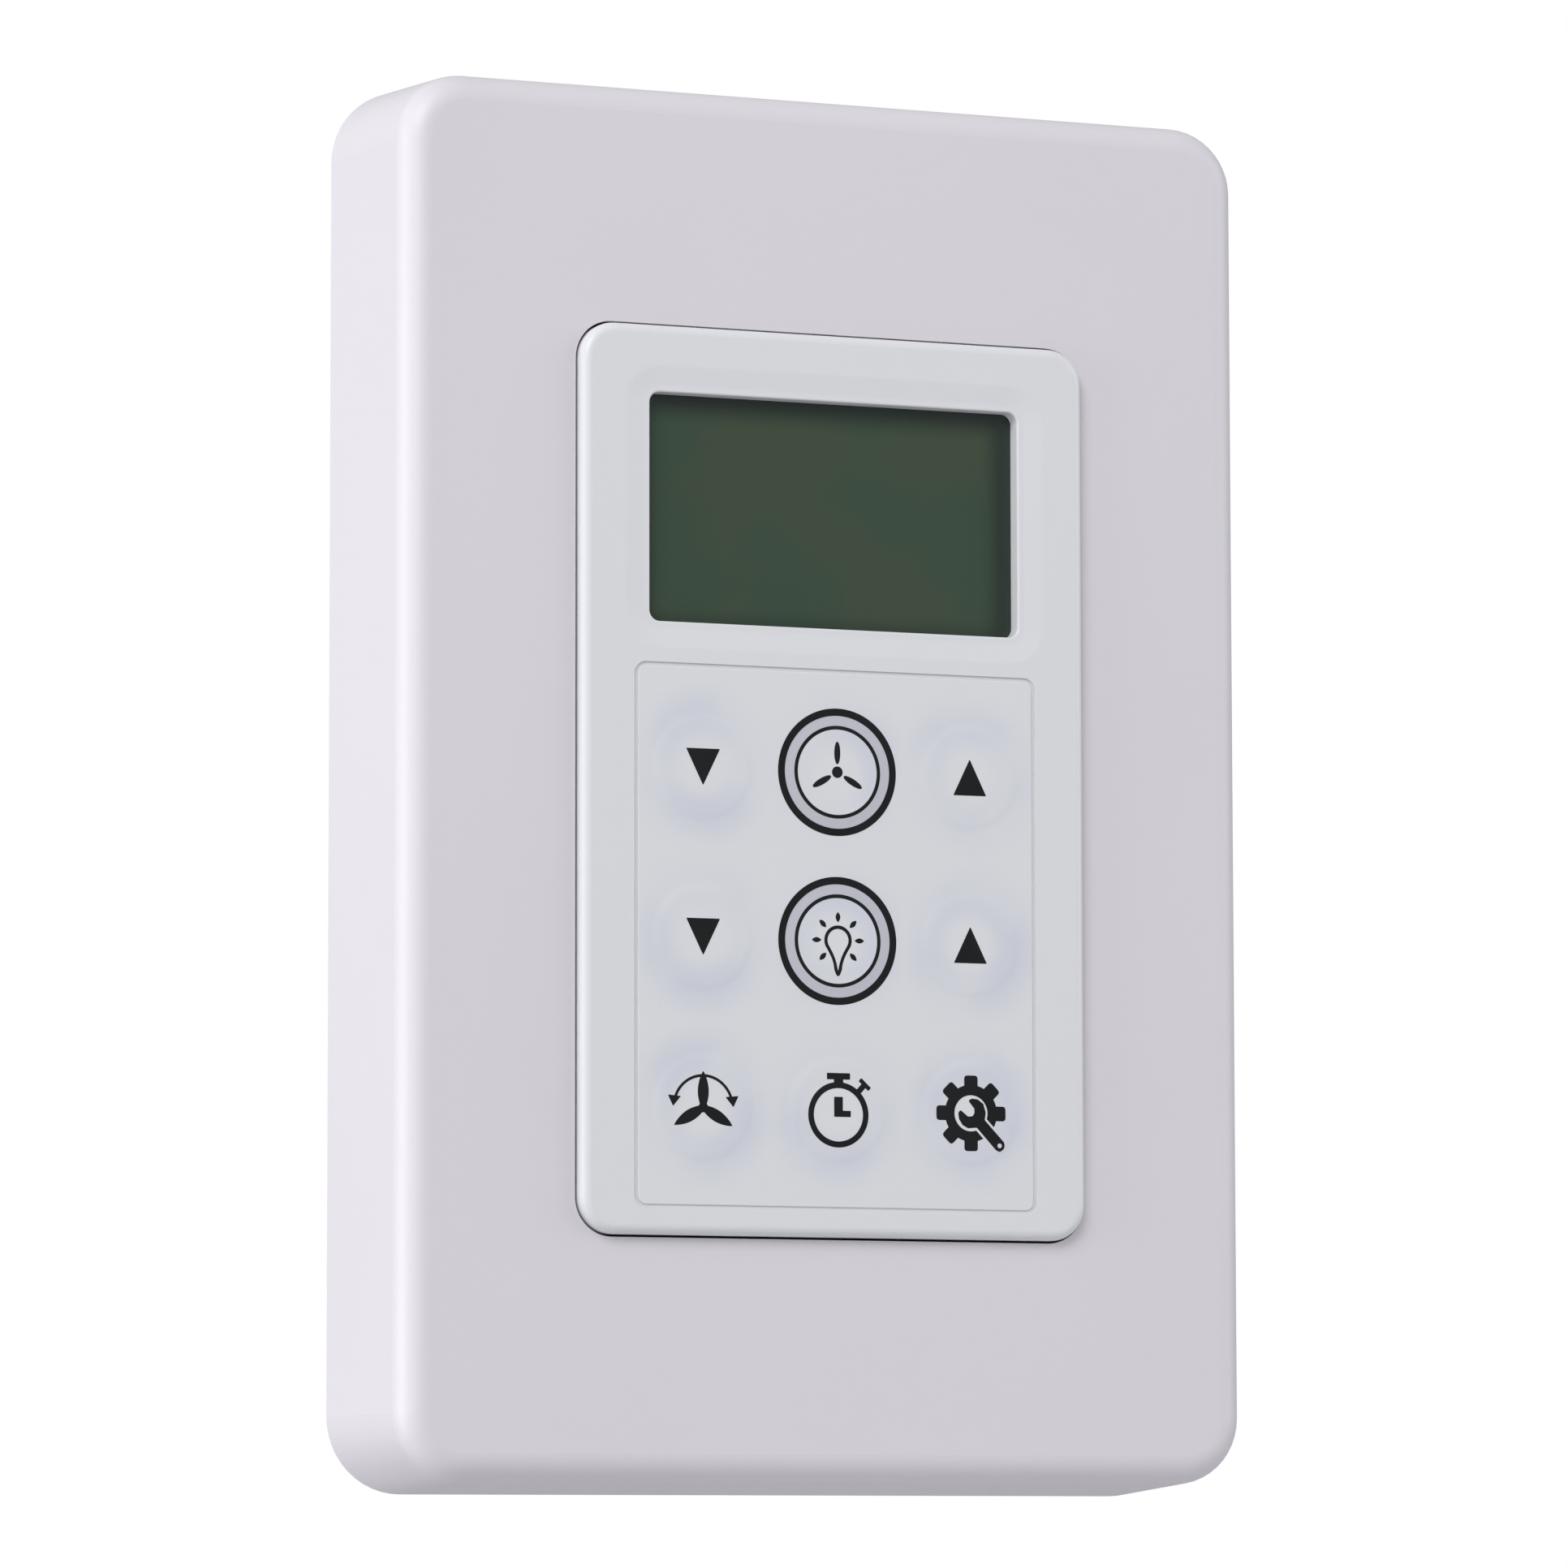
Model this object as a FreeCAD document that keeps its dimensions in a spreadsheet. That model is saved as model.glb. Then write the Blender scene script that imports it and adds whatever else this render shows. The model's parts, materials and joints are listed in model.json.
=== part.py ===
import FreeCAD, Part
import os
import re
import Sketcher

# Wall controller for a ceiling fan and its light: a snap-on cover plate around a
# control module with a display and nine keys, on a steel yoke over a wall box.
# The wall plane is XZ with the origin at the middle of the cover's rear face.
# +Z is up, the face looks along -Y. A "depth" is measured from the wall towards
# the face, so a point at depth d has y = -d and the wall box has negative depths.

doc = FreeCAD.newDocument("WallController")
sheet = doc.addObject("Spreadsheet::Sheet", "Sizes")
here = FreeCAD.Vector

sizes = {
    # cover plate
    "cover_width": 77.3,
    "cover_height": 117.0,
    "cover_depth": 15.5,
    "cover_draft": 3.8,
    "cover_corner": 6.4,
    "cover_rounding": 2.3,
    "cover_wall": 2.0,
    "lip_thick": 1.2,
    "lip_deep": 2.5,
    "rib_thick": 1.2,
    "rib_deep": 3.0,
    "rib_pitch": 28.0,
    "rib_end": 0.4,
    # how far two pads of one body run into each other, and a cut past a face
    "weld": 0.1,
    "past": 1.0,
    # control module face
    "module_width": 45.2,
    "module_height": 75.0,
    "module_corner": 3.0,
    "module_edge": 0.8,
    "module_proud": 1.15,
    "module_gap": 0.2,
    "module_wall": 1.6,
    "face_thick": 1.6,
    # display window and its shallow dish
    "window_width": 33.2,
    "window_height": 19.0,
    "window_z": 22.4,
    "window_corner": 0.9,
    "dish_border": 2.2,
    "dish_deep": 0.2,
    "dish_slope": 83.0,
    "dish_soft": 2.0,
    "window_soft": 0.18,
    "pick": 0.2,
    # keypad film and keys
    "film_width": 35.4,
    "film_height": 44.2,
    "film_z": -12.95,
    "film_corner": 0.7,
    "film_thick": 0.125,
    "film_sink": 0.025,
    "film_slack": 0.35,
    "key_pitch_x": 12.0,
    "key_pitch_z": 14.0,
    "key_top_z": 0.95,
    "key_width": 8.0,
    "key_clear": 0.3,
    "key_flange": 10.0,
    "key_flange_thick": 0.8,
    "key_travel": 0.3,
    "key_foot": 3.0,
    "flange_clear": 0.05,
    "foot_rise": 0.6,
    # display stack
    "glass_width": 38.2,
    "glass_height": 24.0,
    "glass_ledge": 2.6,
    "glass_thick": 0.7,
    "polarizer_thick": 0.2,
    "polarizer_inset": 1.0,
    "guide_thick": 2.6,
    "reflector_thick": 0.15,
    "holder_wall": 0.9,
    "strip_thick": 1.6,
    "lamp_size": 2.0,
    "lamp_wide": 1.8,
    "lamp_long": 3.2,
    "lamp_tall": 1.6,
    "lamp_pitch": 6.0,
    "strip_short": 4.0,
    "holder_gap_x": 10.0,
    "holder_gap_z": 8.0,
    "holder_gap_deep": 4.0,
    # display board
    "board_gap": 1.5,
    "board_thick": 1.6,
    "board_clear": 0.4,
    "board_short": 1.0,
    "post_x": 18.3,
    "post_top_rise": 4.3,
    "post_width": 3.8,
    "pilot": 1.75,
    "pilot_deep": 4.0,
    "board_screw": 1.7,
    "board_screw_bite": 3.4,
    "board_head": 3.2,
    "board_head_tall": 1.3,
    "board_bore_slack": 0.4,
    "boss_short": 0.6,
    "boss_floor": 0.8,
    "switch_size": 6.0,
    "switch_tall": 3.2,
    "switch_plate": 0.25,
    "switch_bore": 3.6,
    "switch_ledge": 0.6,
    "switch_floor": 0.8,
    "stem_lift": 0.4,
    "stem_width": 3.0,
    "dome_rise": 0.3,
    "dome_thick": 0.08,
    # yoke and clip frame
    "yoke_width": 46.0,
    "yoke_height": 105.0,
    "yoke_thick": 1.2,
    "yoke_window_x": 31.0,
    "yoke_window_z": 57.0,
    "yoke_corner": 4.0,
    "yoke_window_corner": 2.0,
    "bore_slack": 0.3,
    "slot_slack": 0.6,
    "round_end": 0.499,
    "box_screw_pitch": 83.3,
    "box_screw": 3.5,
    "box_screw_long": 20.0,
    "box_screw_neck": 2.9,
    "box_thread_start": 0.3,
    "neck_back": 0.5,
    "plate_screw_pitch": 96.8,
    "plate_screw_long": 2.5,
    "plate_head": 5.6,
    "plate_head_tall": 1.8,
    "plate_hole_slack": 0.4,
    "screw_head": 6.6,
    "screw_head_tall": 2.2,
    "slot_extra": 2.4,
    "cross_wide": 0.7,
    "cross_deep": 0.9,
    "cross_share": 0.55,
    "driver_slack": 1.4,
    "frame_thick": 2.4,
    "frame_clear": 0.5,
    "frame_inset": 1.0,
    "cheek_wide": 4.0,
    "cheek_short": 14.0,
    "frame_rim": 5.0,
    "frame_rim_thick": 1.4,
    "clip_width": 9.0,
    "clip_thick": 0.5,
    "clip_tall": 6.5,
    "clip_pitch": 66.0,
    "clip_slack": 0.6,
    "clip_room": 4.0,
    "clip_foot": 4.4,
    "clip_bead": 0.55,
    "clip_bead_out": 0.1,
    "clip_bead_drop": 1.4,
    # rear housing, in the wall box
    "housing_width": 43.4,
    "housing_height": 73.4,
    "housing_deep": 22.0,
    "housing_corner": 3.0,
    "housing_wall": 1.8,
    "housing_edge": 1.0,
    "rail_wide": 1.6,
    "rail_long": 30.0,
    "pillar": 6.0,
    "pillar_x": 18.3,
    "pillar_z": 33.2,
    "pillar_short": 0.5,
    "sink_slack": 0.6,
    "sink_deep": 2.2,
    "case_screw": 2.9,
    "case_screw_head": 5.0,
    "case_screw_head_tall": 2.0,
    "case_head_inset": 0.2,
    "case_cross_long": 2.8,
    "vent_wide": 1.6,
    "vent_long": 20.0,
    "vent_pitch": 4.0,
    "vent_low": 8.0,
    "terminal_width": 28.0,
    "terminal_height": 10.0,
    "terminal_tall": 9.5,
    "terminal_pitch": 5.4,
    "terminal_screw": 3.6,
    "terminal_slack": 0.3,
    "terminal_rise": 1.2,
    "terminal_up": 1.0,
    "terminal_well_slack": 0.8,
    "terminal_well_deep": 4.0,
    "terminal_head_tall": 1.6,
    "terminal_slot": 0.7,
    "terminal_slot_deep": 0.7,
    "clamp_size": 2.9,
    "clamp_deep": 2.6,
    "clamp_thick": 0.9,
    "wire_hole": 2.4,
    "wire_deep": 6.0,
    "wire_behind": 2.6,
    # power board
    "power_front": -13.6,
    "power_thick": 1.6,
    "power_clear": 0.8,
    "link_pitch": 2.54,
    "link_z": 26.0,
    "link_wide": 2.6,
    "link_strip_tall": 2.6,
    "pin_wide": 0.64,
    "pin_short": 2.0,
    "socket_hole": 1.28,
    "socket_tall": 8.5,
    "screw_slack": 0.04,
    "core_window_wide": 4.2,
    "core_window_tall": 9.0,
    "core_limb": 5.0,
    "core_rise": 1.0,
    "bobbin_rise": 0.1,
    "bobbin_slack": 0.05,
    "fuse_rise": 2.2,
}

# what stands on the two boards: x, z, width, height and thickness of each
standing = {
    "microcontroller": (-6.0, -14.0, 10.0, 10.0, 1.5),
    "display_driver": (5.0, 8.0, 7.0, 9.0, 1.2),
    "clock_crystal": (6.0, -9.0, 8.0, 3.2, 2.4),
    "buzzer": (9.0, -22.0, 9.0, 9.0, 4.6),
    "core": (0.0, 2.5, 17.0, 14.0, 10.0),
    "bobbin": (0.0, 2.5, 13.2, 8.8, 11.8),
    "bulk_capacitor": (7.0, 16.5, 10.0, 10.0, 12.5),
    "relay": (7.6, -13.5, 13.0, 14.0, 12.0),
    "supply_fuse": (-6.0, -24.4, 12.0, 3.6, 3.6),
    "surge_absorber": (8.5, -25.2, 8.0, 8.0, 3.4),
}
for name, values in standing.items():
    for which, value in zip(("x", "z", "wide", "tall", "thick"), values):
        sizes[name + "_" + which] = value

for row, (alias, number) in enumerate(sizes.items(), start=1):
    sheet.set("A" + str(row), alias)
    sheet.set("B" + str(row), str(number))
    sheet.setAlias("B" + str(row), alias)

# the display board lies a gap behind the display's stack of layers
board_front_cell = "B" + str(len(sizes) + 1)
sheet.set("A" + str(len(sizes) + 1), "board_front")
sheet.set(board_front_cell, "=cover_depth + module_proud - face_thick - 2 * polarizer_thick"
          " - 2 * glass_thick - guide_thick - reflector_thick - board_gap")
sheet.setAlias(board_front_cell, "board_front")
doc.recompute()

nodes = []
word = re.compile(r"\b(" + "|".join([*sizes, "board_front"]) + r")\b")


def cells(text):
    # names of sheet cells inside an expression get the sheet in front
    return word.sub(r"Sizes.\1", str(text))


def bind(item, **links):
    for path, text in links.items():
        item.setExpression(path.replace("__", "."), cells(text))
    return item


def node(item, label=None):
    if label:
        item.Label = label
    nodes.append(item)
    return item


def number(text):
    # value of an expression in the sheet's own numbers
    return float(sheet.evalExpression(cells(text)))


# primitives placed by their middle in X and Z and their depth span

def block(name, x, z, depth, wide, tall, thick):
    item = doc.addObject("Part::Box", name)
    bind(item, Length=wide, Width=thick, Height=tall)
    bind(item, Placement__Base__x="(%s) - (%s) / 2" % (x, wide),
         Placement__Base__y="-(%s) - (%s)" % (depth, thick),
         Placement__Base__z="(%s) - (%s) / 2" % (z, tall))
    return item


def peg(name, x, z, depth, width, thick):
    # round along Y, from one depth forwards
    item = doc.addObject("Part::Cylinder", name)
    item.Placement = FreeCAD.Placement(here(), FreeCAD.Rotation(here(1, 0, 0), 90))
    bind(item, Radius="(%s) / 2" % width, Height=thick)
    bind(item, Placement__Base__x=x, Placement__Base__y="-(%s)" % depth, Placement__Base__z=z)
    return item


def peg_x(name, x, z, depth, width, length):
    # round along X, centred on x
    item = doc.addObject("Part::Cylinder", name)
    item.Placement = FreeCAD.Placement(here(), FreeCAD.Rotation(here(0, 1, 0), 90))
    bind(item, Radius="(%s) / 2" % width, Height=length)
    bind(item, Placement__Base__x="(%s) - (%s) / 2" % (x, length),
         Placement__Base__y="-(%s)" % depth, Placement__Base__z=z)
    return item


def joined(name, *items):
    item = doc.addObject("Part::MultiFuse", name)
    item.Shapes = list(items)
    item.Refine = True
    return item


def cut(name, base, *tools):
    item = doc.addObject("Part::Cut", name)
    item.Base = base
    item.Tool = tools[0] if len(tools) == 1 else group(name + "_tools", *tools)
    return item


def group(name, *items):
    item = doc.addObject("Part::Compound", name)
    item.Links = list(items)
    return item


# bodies made of sketches on planes parallel to the wall

def sketch(body, name, depth="0", x="0", z="0"):
    item = body.newObject("Sketcher::SketchObject", name)
    plane = [part for part in body.Origin.OriginFeatures if part.Role == "XZ_Plane"][0]
    item.AttachmentSupport = [(plane, "")]
    item.MapMode = "FlatFace"
    bind(item, AttachmentOffset__Base__x=x, AttachmentOffset__Base__y=z,
         AttachmentOffset__Base__z=depth)
    return item


def rectangle(item, wide, tall, corner=None):
    # rectangle about the sketch's own origin, with round corners where asked
    half_x = number(wide) / 2
    half_z = number(tall) / 2
    r = number(corner) if corner else 0.0
    first = item.GeometryCount
    ends = [((-half_x + r, -half_z), (half_x - r, -half_z)), ((half_x, -half_z + r), (half_x, half_z - r)),
            ((half_x - r, half_z), (-half_x + r, half_z)), ((-half_x, half_z - r), (-half_x, -half_z + r))]
    for start, end in ends:
        item.addGeometry(Part.LineSegment(here(*start, 0), here(*end, 0)), False)
    south, east, north, west = range(first, first + 4)
    rules = [Sketcher.Constraint("Horizontal", south), Sketcher.Constraint("Horizontal", north),
             Sketcher.Constraint("Vertical", east), Sketcher.Constraint("Vertical", west)]
    if corner:
        middles = [(half_x - r, -half_z + r, -90), (half_x - r, half_z - r, 0),
                   (-half_x + r, half_z - r, 90), (-half_x + r, -half_z + r, 180)]
        for cx, cz, turn in middles:
            ring = Part.Circle(here(cx, cz, 0), here(0, 0, 1), r)
            quarter = Part.ArcOfCircle(ring, FreeCAD.Units.Quantity(turn, "deg").getValueAs("rad").Value,
                                       FreeCAD.Units.Quantity(turn + 90, "deg").getValueAs("rad").Value)
            item.addGeometry(quarter, False)
        arcs = range(first + 4, first + 8)
        for side, arc in zip((south, east, north, west), arcs):
            rules.append(Sketcher.Constraint("Tangent", side, 2, arc, 1))
        for arc, side in zip(arcs, (east, north, west, south)):
            rules.append(Sketcher.Constraint("Tangent", arc, 2, side, 1))
        for arc in list(arcs)[1:]:
            rules.append(Sketcher.Constraint("Equal", arcs[0], arc))
    else:
        for side, after in ((south, east), (east, north), (north, west), (west, south)):
            rules.append(Sketcher.Constraint("Coincident", side, 2, after, 1))
    item.addConstraint(rules)
    item.addConstraint(Sketcher.Constraint("Symmetric", south, 1, north, 1, -1, 1))
    sized(item, Sketcher.Constraint("Distance", west, 1, east, number(wide)), wide)
    sized(item, Sketcher.Constraint("Distance", south, 1, north, number(tall)), tall)
    if corner:
        sized(item, Sketcher.Constraint("Radius", first + 4, r), corner)
    return item


def circle(item, width, x=None, z=None):
    # circle at the sketch's origin, or at signed distances from it
    cx = number(x) if x else 0.0
    cz = number(z) if z else 0.0
    ring = item.addGeometry(Part.Circle(here(cx, cz, 0), here(0, 0, 1), number(width) / 2), False)
    if x is None:
        item.addConstraint(Sketcher.Constraint("Coincident", ring, 3, -1, 1))
    else:
        sized(item, Sketcher.Constraint("DistanceX", -1, 1, ring, 3, cx), x)
        sized(item, Sketcher.Constraint("DistanceY", -1, 1, ring, 3, cz), z)
    sized(item, Sketcher.Constraint("Diameter", ring, number(width)), width)
    return item


def sized(item, rule, text):
    index = item.addConstraint(rule)
    item.setExpression("Constraints[%d]" % index, cells(text))


def pad(body, profile, length, taper=None, back=False):
    item = body.newObject("PartDesign::Pad", profile.Name + "_pad")
    item.Profile = profile
    bind(item, Length=length)
    item.Reversed = back
    if taper:
        bind(item, TaperAngle=taper)
    return item


def pocket(body, profile, length, taper=None, forward=False):
    item = body.newObject("PartDesign::Pocket", profile.Name + "_cut")
    item.Profile = profile
    bind(item, Length=length)
    item.Reversed = forward
    if taper:
        bind(item, TaperAngle=taper)
    doc.recompute()
    if item.Shape.Volume > item.BaseFeature.Shape.Volume - 1e-6:
        raise RuntimeError(profile.Name + " cuts nothing")
    return item


def edges_where(shape, test):
    return ["Edge%d" % (i + 1) for i, edge in enumerate(shape.Edges) if test(edge)]


def on_plane(depth):
    # test for edges lying wholly in the plane at one depth
    level = -number(depth)
    return lambda edge: all(abs(v.Y - level) < 1e-4 for v in edge.Vertexes) and \
        abs(edge.BoundBox.YLength) < 1e-3


def near_window(depth, margin):
    # test for edges at one depth that run round the display window within a margin
    flat = on_plane(depth)
    reach_x = number("window_width / 2 + " + margin)
    reach_z = number("window_height / 2 + " + margin)
    middle = number("window_z")
    return lambda edge: flat(edge) and all(abs(v.X) < reach_x and abs(v.Z - middle) < reach_z
                                           for v in edge.Vertexes)


def rounded(body, base, names, radius):
    item = body.newObject("PartDesign::Fillet", base.Name + "_fillet")
    item.Base = (base, names)
    bind(item, Radius=radius)
    return item


def part_body(name):
    return doc.addObject("PartDesign::Body", name)


# where the layers lie, as depths from the wall

face_front = "(cover_depth + module_proud)"
face_back = "(%s - face_thick)" % face_front
film_back = "(%s - film_sink - film_thick)" % face_front
glass_front = "(%s - polarizer_thick)" % face_back
rear_glass_front = "(%s - glass_thick)" % glass_front
rear_glass_back = "(%s - glass_thick)" % rear_glass_front
guide_front = "(%s - polarizer_thick)" % rear_glass_back
guide_back = "(%s - guide_thick)" % guide_front
board_back = "(board_front - board_thick)"
switch_top = "(board_front + switch_tall + switch_plate)"
power_back = "(power_front - power_thick)"
housing_inner = "(housing_wall - housing_deep)"
board_width = "(module_width - 2 * module_wall - 2 * board_clear)"
board_height = "(module_height - 2 * module_wall - 2 * board_clear - board_short)"
clip_reach = "(cover_width / 2 - cover_wall - frame_clear - frame_inset)"

keys = [("fan_down", -1, 0), ("fan", 0, 0), ("fan_up", 1, 0),
        ("light_down", -1, 1), ("light", 0, 1), ("light_up", 1, 1),
        ("reverse", -1, 2), ("timer", 0, 2), ("settings", 1, 2)]
key_places = [(name, "(%d * key_pitch_x)" % column, "(key_top_z - %d * key_pitch_z)" % row)
              for name, column, row in keys]
corners = [(1, 1), (-1, 1), (-1, -1), (1, -1)]


# cover plate: drafted shell with a soft front edge and a window for the module

def make_cover():
    body = part_body("cover_plate")
    shell = pad(body, rectangle(sketch(body, "cover_outline"), "cover_width", "cover_height", "cover_corner"),
                "cover_depth", taper="-cover_draft")
    doc.recompute()
    front = edges_where(shell.Shape, on_plane("cover_depth"))
    rounded(body, shell, front, "cover_rounding")
    rim = rectangle(sketch(body, "cover_hollow"), "cover_width - 2 * cover_wall",
                    "cover_height - 2 * cover_wall", "cover_corner - cover_wall")
    pocket(body, rim, "cover_depth - cover_wall", taper="-cover_draft", forward=True)
    window = rectangle(sketch(body, "cover_window", depth="cover_depth + past"),
                       "module_width + 2 * module_gap", "module_height + 2 * module_gap",
                       "module_corner + module_gap")
    pocket(body, window, "cover_wall + 2 * past")
    # lip around the window, behind the front, that stiffens it
    lip = sketch(body, "cover_lip", depth="cover_depth - cover_wall - lip_deep")
    rectangle(lip, "module_width + 2 * module_gap", "module_height + 2 * module_gap",
              "module_corner + module_gap")
    rectangle(lip, "module_width + 2 * (module_gap + lip_thick)",
              "module_height + 2 * (module_gap + lip_thick)", "module_corner + module_gap + lip_thick")
    pad(body, lip, "lip_deep + weld")
    # ribs from the lip to the side walls
    for side in (-1, 1):
        for level in (-1, 0, 1):
            start = "(module_width / 2 + module_gap + lip_thick - weld)"
            end = "(cover_width / 2 - cover_wall - lip_thick + rib_end)"
            rib = sketch(body, "cover_rib_%s%d" % ("w" if side < 0 else "e", level + 1),
                         depth="cover_depth - cover_wall - rib_deep",
                         x="%d * (%s + %s) / 2" % (side, start, end), z="%d * rib_pitch" % level)
            rectangle(rib, "%s - %s" % (end, start), "rib_thick")
            pad(body, rib, "rib_deep + weld")
    doc.recompute()
    node(body)


# control module: the face with its hollow body, window, dish, film recess and key holes

def make_module():
    body = part_body("control_module")
    shell = pad(body, rectangle(sketch(body, "module_outline", depth="yoke_thick"), "module_width",
                                "module_height", "module_corner"), face_front + " - yoke_thick")
    doc.recompute()
    rounded(body, shell, edges_where(shell.Shape, on_plane(face_front)), "module_edge")
    hollow = rectangle(sketch(body, "module_hollow", depth="yoke_thick"), "module_width - 2 * module_wall",
                       "module_height - 2 * module_wall", "module_corner - module_wall")
    pocket(body, hollow, face_back + " - yoke_thick", forward=True)
    dish = rectangle(sketch(body, "window_dish", depth=face_front, z="window_z"),
                     "window_width + 2 * dish_border", "window_height + 2 * dish_border",
                     "window_corner + dish_border")
    dished = pocket(body, dish, "dish_deep", taper="-dish_slope")
    # soft shoulders where the dish leaves the face and where it meets its floor
    floor = face_front + " - dish_deep"
    shoulders = edges_where(dished.Shape, near_window(face_front, "dish_border + pick"))
    shoulders += edges_where(dished.Shape, near_window(floor, "dish_border + pick"))
    rounded(body, dished, shoulders, "dish_soft")
    window = rectangle(sketch(body, "window_hole", depth=face_front, z="window_z"), "window_width",
                       "window_height", "window_corner")
    opened = pocket(body, window, "face_thick + past")
    rounded(body, opened, edges_where(opened.Shape, near_window(floor, "pick")), "window_soft")
    recess = rectangle(sketch(body, "film_recess", depth=face_front, z="film_z"),
                       "film_width + 2 * film_slack", "film_height + 2 * film_slack",
                       "film_corner + film_slack")
    pocket(body, recess, "film_sink + film_thick")
    for name, x, z in key_places:
        hole = circle(sketch(body, name + "_hole", depth=face_front, x=x, z=z),
                      "key_width + 2 * key_clear")
        pocket(body, hole, "face_thick + past")
    # posts from the face to the display board, with pilot holes for its screws
    for index, (x, z) in enumerate(post_places()):
        post = circle(sketch(body, "board_post_%d" % index, depth="board_front", x=x, z=z), "post_width")
        pad(body, post, face_back + " - board_front + weld")
        pilot = circle(sketch(body, "board_pilot_%d" % index, depth="board_front", x=x, z=z), "pilot")
        pocket(body, pilot, "pilot_deep", forward=True)
    # corner bosses that take the case screws
    for index, (sx, sz) in enumerate(corners):
        place = dict(x="%d * pillar_x" % sx, z="%d * pillar_z" % sz)
        boss = circle(sketch(body, "case_boss_%d" % index, depth="yoke_thick", **place), "pillar")
        pad(body, boss, board_back + " - yoke_thick - boss_short")
        pilot = circle(sketch(body, "case_pilot_%d" % index, depth="yoke_thick", **place),
                       "case_screw + 2 * screw_slack")
        pocket(body, pilot, board_back + " - yoke_thick - boss_short - boss_floor", forward=True)
    doc.recompute()
    node(body)


def post_places():
    # above the top row of keys, and between the middle and bottom rows
    levels = ("key_top_z + post_top_rise", "key_top_z - 1.5 * key_pitch_z")
    return [("%d * post_x" % side, level) for side in (-1, 1) for level in levels]


# keypad film, lying in its recess over all nine keys

def make_film():
    body = part_body("keypad_film")
    outline = rectangle(sketch(body, "film_outline", depth=film_back, z="film_z"), "film_width",
                        "film_height", "film_corner")
    pad(body, outline, "film_thick")
    node(body)


# the nine keys and the tact switches under them

def make_keys():
    for name, x, z in key_places:
        cap = peg(name + "_plunger", x, z, face_back + " - key_travel", "key_width",
                  "%s - %s + key_travel" % (film_back, face_back))
        flange = peg(name + "_flange", x, z, face_back + " - flange_clear - key_flange_thick", "key_flange",
                     "key_flange_thick")
        foot = peg(name + "_foot", x, z, switch_top + " + foot_rise", "key_foot",
                   "%s - flange_clear - %s - foot_rise" % (face_back, switch_top))
        node(joined(name + "_key", cap, flange, foot))
        low = "(board_front + switch_floor + stem_lift + dome_rise)"
        node(peg(name + "_stem", x, z, low, "stem_width", "%s + foot_rise - %s" % (switch_top, low)))


def make_switches():
    bases, plates, domes = [], [], []
    for name, x, z in key_places:
        block_base = block(name + "_switch_block", x, z, "board_front", "switch_size", "switch_size",
                           "switch_tall")
        well = peg(name + "_switch_well", x, z, "board_front + switch_floor",
                   "switch_bore + 2 * switch_ledge", "switch_tall")
        bases.append(cut(name + "_switch_base", block_base, well))
        sheet_metal = block(name + "_plate_blank", x, z, "board_front + switch_tall", "switch_size",
                            "switch_size", "switch_plate")
        hole = peg(name + "_plate_hole", x, z, "board_front + switch_tall - past", "switch_bore",
                   "switch_plate + 2 * past")
        plates.append(cut(name + "_switch_plate", sheet_metal, hole))
        domes.append(make_dome(name, x, z))
    node(group("switch_bases", *bases))
    node(group("switch_plates", *plates))
    node(group("switch_domes", *domes))


def make_dome(name, x, z):
    # thin snap dome, a slice of a hollow ball on the floor of the switch
    rise = number("dome_rise")
    half = number("switch_bore") / 2
    ball = (half * half + rise * rise) / (2 * rise)
    thick = number("dome_thick")
    outer = Part.makeSphere(ball)
    inner = Part.makeSphere(ball - thick)
    keep = Part.makeBox(4 * ball, 4 * ball, 2 * rise, here(-2 * ball, -2 * ball, ball - rise))
    item = doc.addObject("Part::Feature", name + "_dome")
    item.Shape = outer.cut(inner).common(keep)
    item.Placement = FreeCAD.Placement(here(), FreeCAD.Rotation(here(1, 0, 0), 90))
    bind(item, Placement__Base__x=x, Placement__Base__z=z,
         Placement__Base__y="-(board_front + switch_floor + dome_rise)"
         " + ((switch_bore / 2) ^ 2 + dome_rise ^ 2) / (2 * dome_rise)")
    return item


# display: polarizers, two panes, light guide, reflector, holder, contact strip, lamps

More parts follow.
